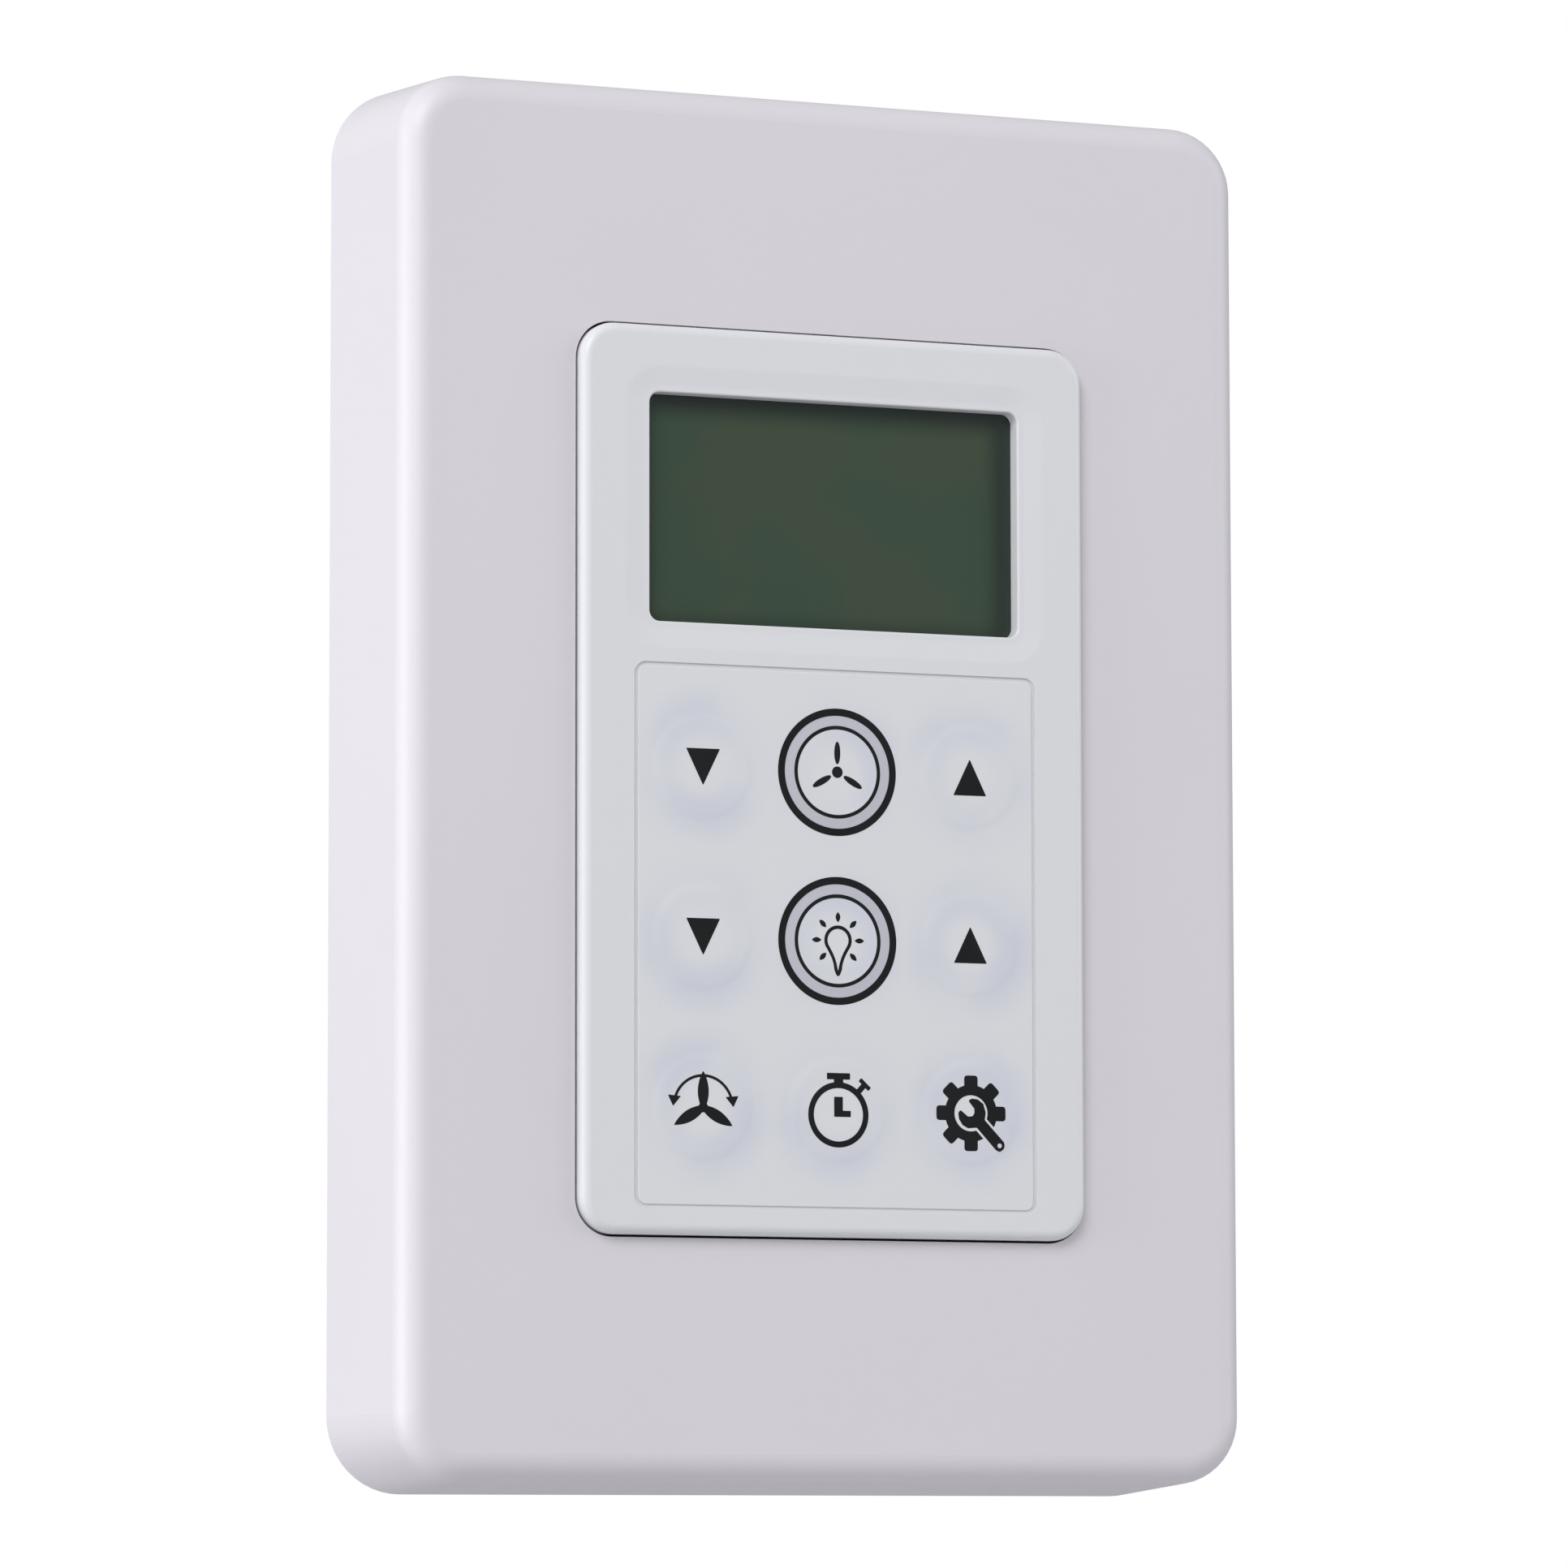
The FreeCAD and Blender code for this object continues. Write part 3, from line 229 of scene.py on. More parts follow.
def toneGroup():
    # slow drift of a colour over a moulding, towards a second colour
    group, start, end = newGroup("toneDrift", [
        ("Colour", "NodeSocketColor", (0.8, 0.8, 0.8, 1)),
        ("Drift", "NodeSocketColor", (0.75, 0.75, 0.75, 1)),
        ("Scale", "NodeSocketFloat", 30.0), ("Amount", "NodeSocketFloat", 0.5)],
        [("Colour", "NodeSocketColor")])
    noise = addNode(group, "ShaderNodeTexNoise", Detail=3.0, Roughness=0.55)
    link(group, objectPlace(group), noise.inputs["Vector"])
    link(group, start.outputs["Scale"], noise.inputs["Scale"])
    drift = softStep(group, noise.outputs["Fac"], 0.35, 0.7)
    share = maths(group, "MULTIPLY", drift, start.outputs["Amount"])
    colour = mixColours(group, share, start.outputs["Colour"], start.outputs["Drift"])
    link(group, colour, end.inputs["Colour"])
    return group


def dustGroup():
    # specks and faint scuffs, as a mask and a tinted colour
    group, start, end = newGroup("dustSpecks", [
        ("Colour", "NodeSocketColor", (0.8, 0.8, 0.8, 1)), ("Dust", "NodeSocketColor", (0.5, 0.5, 0.5, 1)),
        ("Scale", "NodeSocketFloat", 900.0), ("Amount", "NodeSocketFloat", 0.3)],
        [("Colour", "NodeSocketColor"), ("Mask", "NodeSocketFloat")])
    place = objectPlace(group)
    dots = addNode(group, "ShaderNodeTexVoronoi", feature="F1", Randomness=1.0)
    link(group, place, dots.inputs["Vector"])
    link(group, start.outputs["Scale"], dots.inputs["Scale"])
    patches = addNode(group, "ShaderNodeTexNoise", Scale=120.0, Detail=2.0)
    link(group, place, patches.inputs["Vector"])
    speck = softStep(group, dots.outputs["Distance"], 0.12, 0.05)
    sparse = softStep(group, patches.outputs["Fac"], 0.55, 0.75)
    mask = maths(group, "MULTIPLY", maths(group, "MULTIPLY", speck, sparse), start.outputs["Amount"])
    colour = mixColours(group, mask, start.outputs["Colour"], start.outputs["Dust"])
    link(group, colour, end.inputs["Colour"])
    link(group, mask, end.inputs["Mask"])
    return group


def brushGroup():
    # rolled or brushed metal: long streaks along one axis and mottled zinc
    group, start, end = newGroup("brushedStreaks", [
        ("Colour", "NodeSocketColor", (0.6, 0.6, 0.6, 1)),
        ("Mottle", "NodeSocketColor", (0.5, 0.5, 0.5, 1)),
        ("Stretch", "NodeSocketVector", (2500.0, 2500.0, 60.0)), ("Roughness", "NodeSocketFloat", 0.35)],
        [("Colour", "NodeSocketColor"), ("Roughness", "NodeSocketFloat"), ("Height", "NodeSocketFloat")])
    place = objectPlace(group)
    stretch = addNode(group, "ShaderNodeVectorMath", operation="MULTIPLY")
    link(group, place, stretch.inputs[0])
    link(group, start.outputs["Stretch"], stretch.inputs[1])
    streaks = addNode(group, "ShaderNodeTexNoise", Scale=1.0, Detail=4.0, Roughness=0.65)
    link(group, stretch.outputs[0], streaks.inputs["Vector"])
    spots = addNode(group, "ShaderNodeTexVoronoi", feature="F1", Scale=260.0)
    link(group, place, spots.inputs["Vector"])
    colour = mixColours(group, spots.outputs["Distance"], start.outputs["Colour"], start.outputs["Mottle"])
    rough = maths(group, "MULTIPLY_ADD", streaks.outputs["Fac"], 0.18, start.outputs["Roughness"])
    link(group, colour, end.inputs["Colour"])
    link(group, rough, end.inputs["Roughness"])
    link(group, streaks.outputs["Fac"], end.inputs["Height"])
    return group


groups = {"grain": grainGroup(), "tone": toneGroup(), "dust": dustGroup(), "brush": brushGroup()}
print("node groups made:", len(groups))


# materials, kept by name
materials = {}


def newMaterial(name):
    material = bpy.data.materials.new(name)
    material.use_nodes = True
    materials[name] = material
    tree = material.node_tree
    return tree, tree.nodes["Principled BSDF"]


def useGroup(tree, name, **values):
    item = tree.nodes.new("ShaderNodeGroup")
    item.node_tree = groups[name]
    for key, value in values.items():
        item.inputs[key].default_value = value
    return item


def addBump(tree, shader, height, strength, distance):
    bump = addNode(tree, "ShaderNodeBump", Strength=strength, Distance=distance)
    link(tree, height, bump.inputs["Height"])
    link(tree, bump.outputs["Normal"], shader.inputs["Normal"])


def plastic(name, colour, drift, rough, grain=3200.0, grainDepth=0.25, driftScale=22.0, amount=0.5,
            dust=0.25, coat=0.0, sub=0.0):
    tree, shader = newMaterial(name)
    tone = useGroup(tree, "tone", Colour=(*colour, 1), Drift=(*drift, 1), Scale=driftScale, Amount=amount)
    specks = useGroup(tree, "dust", Dust=(*[0.55 * c for c in colour], 1), Amount=dust)
    fine = useGroup(tree, "grain", Scale=grain, Roughness=rough, Spread=0.1)
    link(tree, tone.outputs["Colour"], specks.inputs["Colour"])
    link(tree, specks.outputs["Colour"], shader.inputs["Base Color"])
    link(tree, fine.outputs["Roughness"], shader.inputs["Roughness"])
    addBump(tree, shader, fine.outputs["Height"], grainDepth, 0.02 * mm)
    shader.inputs["Coat Weight"].default_value = coat
    shader.inputs["Coat Roughness"].default_value = 0.25
    shader.inputs["Subsurface Weight"].default_value = sub
    shader.inputs["Subsurface Radius"].default_value = (1.0, 0.9, 0.8)
    shader.inputs["Subsurface Scale"].default_value = 0.6 * mm
    return shader


def metal(name, colour, mottle, rough, stretch=(2500.0, 2500.0, 60.0), depth=0.2):
    tree, shader = newMaterial(name)
    brush = useGroup(tree, "brush", Colour=(*colour, 1), Mottle=(*mottle, 1), Stretch=stretch,
                     Roughness=rough)
    link(tree, brush.outputs["Colour"], shader.inputs["Base Color"])
    link(tree, brush.outputs["Roughness"], shader.inputs["Roughness"])
    addBump(tree, shader, brush.outputs["Height"], depth, 0.02 * mm)
    shader.inputs["Metallic"].default_value = 1.0


def makeMouldings():
    plastic("coverPlastic", (0.672, 0.650, 0.704), (0.648, 0.630, 0.678), 0.46, grain=4200, grainDepth=0.22,
            amount=0.5, dust=0.12, sub=0.05)
    plastic("modulePlastic", (0.690, 0.703, 0.732), (0.676, 0.690, 0.722), 0.38, grain=5200,
            grainDepth=0.15, amount=0.4, dust=0.10, sub=0.05)
    plastic("keyPlastic", (0.62, 0.63, 0.64), (0.55, 0.56, 0.57), 0.4, grain=4000)
    plastic("stemPlastic", (0.03, 0.03, 0.032), (0.05, 0.05, 0.05), 0.45, grain=4000)
    plastic("blackPlastic", (0.018, 0.018, 0.020), (0.032, 0.032, 0.034), 0.5, grain=1500, grainDepth=0.7,
            driftScale=40, dust=0.8)
    plastic("whitePlastic", (0.62, 0.63, 0.63), (0.58, 0.59, 0.60), 0.45, grain=2600, grainDepth=0.3,
            dust=0.3)
    plastic("contactRubber", (0.02, 0.02, 0.022), (0.3, 0.3, 0.32), 0.6, grain=2500)
    plastic("chipBlack", (0.012, 0.012, 0.013), (0.022, 0.022, 0.022), 0.55, grain=6000, grainDepth=0.4)
    plastic("capacitorSleeve", (0.012, 0.016, 0.05), (0.02, 0.025, 0.07), 0.25, coat=0.4)
    plastic("fuseCeramic", (0.72, 0.71, 0.68), (0.6, 0.58, 0.54), 0.3, coat=0.3)
    plastic("absorberBlue", (0.01, 0.05, 0.32), (0.015, 0.07, 0.4), 0.28, coat=0.5)
    plastic("terminalGreen", (0.015, 0.17, 0.075), (0.02, 0.21, 0.095), 0.42, grain=2400, grainDepth=0.4,
            dust=0.4)
    plastic("lampBody", (0.85, 0.8, 0.45), (0.8, 0.72, 0.35), 0.25, coat=0.4)
    plastic("reflectorFilm", (0.85, 0.86, 0.87), (0.8, 0.81, 0.83), 0.2)
    plastic("lightGuide", (0.78, 0.82, 0.80), (0.7, 0.76, 0.74), 0.12, grain=1200, coat=0.5)
    plastic("floor", (0.86, 0.86, 0.87), (0.83, 0.83, 0.845), 0.7, grain=300, driftScale=1.5, dust=0.0)


def makeMetals():
    metal("springSteel", (0.62, 0.62, 0.61), (0.52, 0.52, 0.52), 0.22)
    metal("yokeSteel", (0.60, 0.60, 0.585), (0.46, 0.465, 0.46), 0.34, stretch=(1800, 1800, 90))
    metal("screwZinc", (0.66, 0.65, 0.60), (0.52, 0.52, 0.47), 0.26, stretch=(900, 900, 900))
    metal("brightTin", (0.74, 0.74, 0.73), (0.66, 0.66, 0.65), 0.2, stretch=(900, 900, 900))
    metal("coreIron", (0.09, 0.09, 0.09), (0.05, 0.05, 0.05), 0.5, stretch=(200, 9000, 200))


def makeBoardMaterial():
    # solder mask with copper runs showing through and a plated grid
    tree, shader = newMaterial("circuitBoard")
    runs = addNode(tree, "ShaderNodeTexBrick", Scale=420.0, Mortar_Size=0.012, Bias=-0.2)
    link(tree, objectPlace(tree), runs.inputs["Vector"])
    colour = mixColours(tree, runs.outputs["Fac"], (0.012, 0.09, 0.035), (0.03, 0.16, 0.06))
    specks = useGroup(tree, "dust", Dust=(0.5, 0.5, 0.45, 1), Scale=500.0, Amount=0.5)
    link(tree, colour, specks.inputs["Colour"])
    link(tree, specks.outputs["Colour"], shader.inputs["Base Color"])
    fine = useGroup(tree, "grain", Scale=1500.0, Roughness=0.3, Spread=0.1)
    link(tree, fine.outputs["Roughness"], shader.inputs["Roughness"])
    addBump(tree, shader, runs.outputs["Fac"], 0.3, 0.03 * mm)
    shader.inputs["Coat Weight"].default_value = 0.3


def makeGlass():
    tree, shader = newMaterial("displayPane")
    shader.inputs["Base Color"].default_value = (0.86, 0.93, 0.9, 1)
    shader.inputs["Transmission Weight"].default_value = 1.0
    shader.inputs["IOR"].default_value = 1.5
    fine = useGroup(tree, "grain", Scale=400.0, Roughness=0.04, Spread=0.03)
    link(tree, fine.outputs["Roughness"], shader.inputs["Roughness"])


# the unlit display: deep green, with painted shade darkening the cell's borders where the bezel shades them
display = {
    "middle": (0.029, 0.060, 0.036), "warm": (0.042, 0.061, 0.033), "bezelShade": (0.013, 0.026, 0.019),
    "bezelShadeWidth": 2.6, "clearX": 17.1, "clearZ": 9.9, "shiftX": 0.85, "shiftZ": 0.45, "rough": 0.3,
}


def makeDisplayMaterial():
    tree, shader = newMaterial("displayFilm")
    low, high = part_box("lcd_front_polarizer")
    # the shade falls mostly from the right-hand and upper sides of the frame
    split = addNode(tree, "ShaderNodeSeparateXYZ")
    link(tree, objectPlace(tree), split.inputs[0])
    clear = 1.0
    for axis, half, shift in (("X", display["clearX"], display["shiftX"]),
                              ("Z", display["clearZ"], display["shiftZ"])):
        side = "XYZ".index(axis)
        middle = (low[side] + high[side]) / 2 - mm * shift
        away = maths(tree, "ABSOLUTE", maths(tree, "SUBTRACT", split.outputs[axis], middle))
        lit = softStep(tree, away, mm * half, mm * (half - display["bezelShadeWidth"]))
        clear = maths(tree, "MULTIPLY", clear, lit)
    tone = useGroup(tree, "tone", Colour=(*display["middle"], 1), Drift=(*display["warm"], 1), Scale=75.0,
                    Amount=0.9)
    # painted shade: the darker colour towards the edges stands in for the bezel's shadow on the cell
    colour = mixColours(tree, clear, display["bezelShade"], tone.outputs["Colour"])
    link(tree, colour, shader.inputs["Base Color"])
    fine = useGroup(tree, "grain", Scale=6000.0, Roughness=display["rough"], Spread=0.06)
    link(tree, fine.outputs["Roughness"], shader.inputs["Roughness"])
    addBump(tree, shader, fine.outputs["Height"], 0.08, 0.01 * mm)


# keypad film with a soft pad over each key, in mm
keypad = {
    "padRadius": 4.68, "padRise": 0.05, "padFlat": 3.8,
    "corner": 0.7, "edgeRound": 0.07, "join": 0.01, "ringOverlap": 0.05,
    "ringOuter": 5.30, "thinOuter": 3.86, "thinInner": 3.55,
    "inkLift": 0.012, "tintLift": 0.0072,
    "haloStart": 4.0, "haloEnd": 7.6, "heartStart": 1.4, "heartEnd": 3.4,  # the bluish cast round each key
    "film": (0.684, 0.700, 0.730), "blue": (0.605, 0.630, 0.705), "ink": (0.0078, 0.0092, 0.0102),
    "ringTint": (0.500, 0.512, 0.575),
}

keyNames = ["fan_down", "fan", "fan_up", "light_down", "light", "light_up", "reverse", "timer", "settings"]


def keyCentre(name):
    low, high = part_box(name + "_key")
    return (low[0] + high[0]) / 2, (low[2] + high[2]) / 2


def filmFront():
    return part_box("keypad_film")[0][1]


def makeFilmMaterial():
    # pale film with a faint bluish cast that gathers round the keys
    tree, shader = newMaterial("keypadFilm")
    place = objectPlace(tree)
    halo = 0.0
    for name in keyNames:
        x, z = keyCentre(name)
        point = addNode(tree, "ShaderNodeVectorMath", operation="DISTANCE")
        link(tree, place, point.inputs[0])
        point.inputs[1].default_value = (x, filmFront(), z)
        away = point.outputs["Value"]
        outside = softStep(tree, away, mm * keypad["haloEnd"], mm * keypad["haloStart"])
        inside = softStep(tree, away, mm * keypad["heartStart"], mm * keypad["heartEnd"])
        halo = maths(tree, "MAXIMUM", halo, maths(tree, "MULTIPLY", outside, inside))
    patches = addNode(tree, "ShaderNodeTexNoise", Scale=110.0, Detail=2.0, Roughness=0.4)
    link(tree, place, patches.inputs["Vector"])
    share = maths(tree, "MULTIPLY_ADD", softStep(tree, patches.outputs["Fac"], 0.38, 0.66), 0.75, 0.25)
    colour = mixColours(tree, maths(tree, "MULTIPLY", halo, share), keypad["film"], keypad["blue"])
    specks = useGroup(tree, "dust", Dust=(0.35, 0.35, 0.38, 1), Scale=700.0, Amount=0.12)
    link(tree, colour, specks.inputs["Colour"])
    link(tree, specks.outputs["Colour"], shader.inputs["Base Color"])
    fine = useGroup(tree, "grain", Scale=6500.0, Roughness=0.38, Spread=0.1)
    link(tree, fine.outputs["Roughness"], shader.inputs["Roughness"])
    addBump(tree, shader, fine.outputs["Height"], 0.12, 0.01 * mm)


def makeInks():
    shader = plastic("printInk", keypad["ink"], tuple(1.6 * c for c in keypad["ink"]), 0.45, grain=6500,
                     grainDepth=0.12, driftScale=200, dust=0.05)
    shader.inputs["Specular IOR Level"].default_value = 0.16
    plastic("ringTint", keypad["ringTint"], tuple(0.97 * c for c in keypad["ringTint"]), 0.38, grain=6500,
            grainDepth=0.12, dust=0.05)


def padHeight(radius):
    # height of the film above its own plane at a distance from a key's middle, in mm
    t = (keypad["padRadius"] - radius) / (keypad["padRadius"] - keypad["padFlat"])
    t = min(1.0, max(0.0, t))
    return keypad["padRise"] * t * t * (3 - 2 * t)


def makeObject(name, mesh, materialName, smooth=True):
    data = bpy.data.meshes.new(name)
    mesh.to_mesh(data)
    mesh.free()
    for face in data.polygons:
        face.use_smooth = smooth
    item = bpy.data.objects.new(name, data)
    bpy.context.collection.objects.link(item)
    data.materials.append(materials[materialName])
    return item


def facingFront(mesh):
    # a flat printed layer shows its face to the room
    mesh.normal_update()
    for face in mesh.faces:
        if face.normal.y > 0:
            face.normal_flip()


def ringPatch(name, centre, inner, outer, rows, materialName, lift=0.0, sides=96):
    # flat or domed ring or disc around a key, following the film's height
    mesh = bmesh.new()
    x0, z0 = centre
    loops = []
    for row in range(rows + 1):
        radius = inner + (outer - inner) * row / rows
        y = filmFront() - mm * (padHeight(radius) + lift)
        if radius < 1e-6:
            loops.append([mesh.verts.new((x0, y, z0))])
            continue
        turn = [2 * math.pi * i / sides for i in range(sides)]
        loops.append([mesh.verts.new((x0 + mm * radius * math.cos(a), y, z0 + mm * radius * math.sin(a)))
                      for a in turn])
    for first, second in zip(loops, loops[1:]):
        for i in range(sides):
            j = (i + 1) % sides
            if len(first) == 1:
                mesh.faces.new((first[0], second[i], second[j]))
            else:
                mesh.faces.new((first[i], second[i], second[j], first[j]))
    facingFront(mesh)
    return makeObject(name, mesh, materialName)


def roundedOutline(halfX, halfZ, radius, steps=10):
    points = []
    for cx, cz, start in ((halfX - radius, -halfZ + radius, -90), (halfX - radius, halfZ - radius, 0),
                          (-halfX + radius, halfZ - radius, 90), (-halfX + radius, -halfZ + radius, 180)):
        for i in range(steps + 1):
            a = math.radians(start + 90 * i / steps)
            points.append((cx + radius * math.cos(a), cz + radius * math.sin(a)))
    return points


def makeFilmSheet():
    low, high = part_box("keypad_film")
    cx, cz = (low[0] + high[0]) / 2, (low[2] + high[2]) / 2
    halfX, halfZ = (high[0] - low[0]) / 2 / mm, (high[2] - low[2]) / 2 / mm
    front, back = low[1], high[1]
    soft = keypad["edgeRound"]
    mesh = bmesh.new()

    def loop(points, y):
        verts = [mesh.verts.new((cx + mm * x, y, cz + mm * z)) for x, z in points]
        edges = [mesh.edges.new((verts[i], verts[(i + 1) % len(verts)])) for i in range(len(verts))]
        return verts, edges

    def wall(first, second):
        for i in range(len(first)):
            j = (i + 1) % len(first)
            mesh.faces.new((first[i], second[i], second[j], first[j]))

    corner = keypad["corner"]
    rows = [(soft, 0.0), (soft * 0.3, soft * 0.3), (0.0, soft), (0.0, None)]
    rings = []
    for inset, drop in rows:
        y = back if drop is None else front + mm * drop
        rings.append(loop(roundedOutline(halfX - inset, halfZ - inset, corner - inset), y))
    for first, second in zip(rings, rings[1:]):
        wall(first[0], second[0])
    frontEdges, backEdges = list(rings[0][1]), list(rings[-1][1])
    for name in keyNames:
        x, z = keyCentre(name)
        circle = [((x - cx) / mm + keypad["padRadius"] * math.cos(2 * math.pi * i / 96),
                   (z - cz) / mm + keypad["padRadius"] * math.sin(2 * math.pi * i / 96)) for i in range(96)]
        near = loop(circle, front)
        far = loop(circle, back)
        wall(near[0], far[0])
        frontEdges += near[1]
        backEdges += far[1]
    bmesh.ops.triangle_fill(mesh, use_beauty=True, edges=frontEdges, normal=(0, -1, 0))
    bmesh.ops.triangle_fill(mesh, use_beauty=True, edges=backEdges, normal=(0, 1, 0))
    bmesh.ops.recalc_face_normals(mesh, faces=mesh.faces)
    film = makeObject("keypadFilm", mesh, "keypadFilm", smooth=False)
    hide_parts("keypad_film")
    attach(film, "control")


def rideKey(piece):
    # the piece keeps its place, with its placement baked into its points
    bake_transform(piece)


def makePads():
    for name in keyNames:
        pad = ringPatch(name + "Pad", keyCentre(name), 0.0, keypad["padRadius"], 48, "keypadFilm")
        rideKey(pad)
    padEdge, join = keypad["padRadius"], keypad["join"]
    for name in ("fan", "light"):
        centre = keyCentre(name)
        outer = ringPatch(name + "OuterRing", centre, padEdge + join, keypad["ringOuter"], 3, "printInk",
                          keypad["inkLift"], sides=160)
        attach(outer, "control")
        tint = ringPatch(name + "RingTint", centre, keypad["thinOuter"] - keypad["ringOverlap"],
                         padEdge - join, 10, "ringTint", keypad["tintLift"], sides=160)
        rideKey(tint)
        thin = ringPatch(name + "InnerRing", centre, keypad["thinInner"], keypad["thinOuter"], 3,
                         "printInk", keypad["inkLift"], sides=160)
        rideKey(thin)


# printed symbols, drawn flat in mm from each key's middle

def polar(radius, degrees, x=0.0, z=0.0):
    a = math.radians(degrees)
    return (x + radius * math.cos(a), z + radius * math.sin(a))


def disc(radius, x=0.0, z=0.0, sides=64):
    return [polar(radius, 360 * i / sides, x, z) for i in range(sides)]


def bar(x0, z0, x1, z1, width):
    # straight bar between two points
    length = math.hypot(x1 - x0, z1 - z0)
    sx, sz = (z1 - z0) / length * width / 2, -(x1 - x0) / length * width / 2
    return [(x0 + sx, z0 + sz), (x1 + sx, z1 + sz), (x1 - sx, z1 - sz), (x0 - sx, z0 - sz)]


def arc(inner, outer, start, end, x=0.0, z=0.0, steps=40):
    angles = [start + (end - start) * i / steps for i in range(steps + 1)]
    return [polar(outer, a, x, z) for a in angles] + [polar(inner, a, x, z) for a in reversed(angles)]


def leaf(angle, start, end, width, power=1.0, steps=24):
    # slender blade, widest in the middle, along a ray from the key's middle
    side = []
    for i in range(steps + 1):
        t = i / steps
        side.append((start + (end - start) * t, width / 2 * math.sin(math.pi * t) ** power))
    loop = side + [(r, -w) for r, w in reversed(side[1:-1])]
    a = math.radians(angle)
    return [(r * math.cos(a) - w * math.sin(a), r * math.sin(a) + w * math.cos(a)) for r, w in loop]


def rounded(points, radius, steps=5):
    # the same outline with its corners rounded off
    result = []
    count = len(points)
    for i in range(count):
        corner = Vector(points[i])
        before = (Vector(points[i - 1]) - corner)
        after = (Vector(points[(i + 1) % count]) - corner)
        half = before.angle(after) / 2
        back = min(radius / math.tan(half), 0.45 * before.length, 0.45 * after.length)
        first = corner + before.normalized() * back
        last = corner + after.normalized() * back
        for step in range(steps + 1):
            t = step / steps
            point = (1 - t) ** 2 * first + 2 * t * (1 - t) * corner + t * t * last
            result.append((point.x, point.y))
    return result


def turned(outline):
    # the same outline, always running anticlockwise
    area = sum(a[0] * b[1] - b[0] * a[1] for a, b in zip(outline, outline[1:] + outline[:1]))
    return outline if area > 0 else outline[::-1]


def printSymbol(name, key, added, removed=()):
    # one flat layer of ink: every added outline, less every removed one
    outlines = [turned(outline) for outline in list(added) + list(removed)]
    points, faces = [], []
    for outline in outlines:
        faces.append(list(range(len(points), len(points) + len(outline))))
        points += [Vector(p) for p in outline]
    made = delaunay_2d_cdt(points, [], faces, 1, 0.0001)
    kx, kz = keyCentre(key)
    y = filmFront() - mm * (keypad["padRise"] + keypad["inkLift"])
    mesh = bmesh.new()
    verts = [mesh.verts.new((kx + mm * p.x, y, kz + mm * p.y)) for p in made[0]]
    for corners, owners in zip(made[2], made[5]):
        if any(o < len(added) for o in owners) and not any(o >= len(added) for o in owners):
            mesh.faces.new([verts[i] for i in corners])
    loose = [v for v in mesh.verts if not v.link_faces]
    bmesh.ops.delete(mesh, geom=loose, context="VERTS")
    facingFront(mesh)
    symbol = makeObject(name, mesh, "printInk", smooth=False)
    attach(symbol, key + "_button")


symbols = {
    "arrowHalf": 1.5, "arrowTop": 1.52, "arrowTip": -1.52, "arrowSoft": 0.06,
    "hub": 0.48, "bladeStart": 0.65, "bladeEnd": 2.55, "bladeWidth": 0.54,
    "bulbRadius": 1.23, "bulbLine": 0.29, "rayStart": 1.5, "rayEnd": 2.34, "rayWidth": 0.42,
    "leafStart": -0.35, "leafEnd": 2.97, "leafWidth": 0.97, "sweepRadius": 2.6, "sweepLine": 0.23,
    "watchRadius": 2.7, "watchLine": 0.5, "watchDrop": -0.37,
    "gearOuter": 3.14, "gearRoot": 2.36, "gearTooth": 1.22, "gearHole": 1.5, "gap": 0.19,
}


def printArrows():
    s = symbols
    down = [(-s["arrowHalf"], s["arrowTop"]), (0, s["arrowTip"]), (s["arrowHalf"], s["arrowTop"])]
    up = [(x, -z) for x, z in down]
    for key, shape in (("fan_down", down), ("light_down", down), ("fan_up", up), ("light_up", up)):
        printSymbol(key + "Arrow", key, [rounded(shape, s["arrowSoft"])])


def printFan():
    s = symbols
    blades = [leaf(a, s["bladeStart"], s["bladeEnd"], s["bladeWidth"], 0.45) for a in (90, 210, 330)]
    printSymbol("fanSymbol", "fan", [disc(s["hub"])] + blades)


def bulbOutline(radius, neck):
    # round glass narrowing through a waist to a small rounded foot
    glass = [polar(radius, -24 + 228 * i / 48, 0.03, 0.05) for i in range(49)]
    left = [(0.03 - w, z) for w, z in neck]
    right = [(0.03 + w, z) for w, z in reversed(neck[:-1])]
    return rounded(glass + left + right, 0.4, steps=3)


def printBulb():
    s = symbols
    outer = bulbOutline(s["bulbRadius"], [(0.80, -0.98), (0.57, -1.43), (0.41, -1.9), (0.33, -2.4),
                                          (0.18, -2.8), (0.0, -2.97)])
    inner = bulbOutline(s["bulbRadius"] - s["bulbLine"], [(0.50, -0.95), (0.28, -1.43), (0.13, -1.9),
                                                          (0.05, -2.3), (0.0, -2.5)])
    rays = []
    for angle in (-45, 0, 45, 90, 135, 180, 225):
        ray = leaf(angle, s["rayStart"], s["rayEnd"], s["rayWidth"], 0.8, steps=12)
        rays.append([(x + 0.03, z + 0.05) for x, z in ray])
    printSymbol("lightSymbol", "light", [outer] + rays, [inner])


def printReverse():
    s = symbols
    blades = [leaf(a, s["leafStart"], s["leafEnd"], s["leafWidth"], 0.8) for a in (90, 210, 330)]
    half = s["sweepLine"] / 2
    sweep = arc(s["sweepRadius"] - half, s["sweepRadius"] + half, 20, 160)
    heads = [[(side * 3.12, 0.98), (side * 1.97, 0.88), (side * 2.67, 0.05)] for side in (-1, 1)]
    heads = [rounded(head, 0.05) for head in heads]
    printSymbol("reverseSymbol", "reverse", [disc(0.42)] + blades + [sweep] + heads)


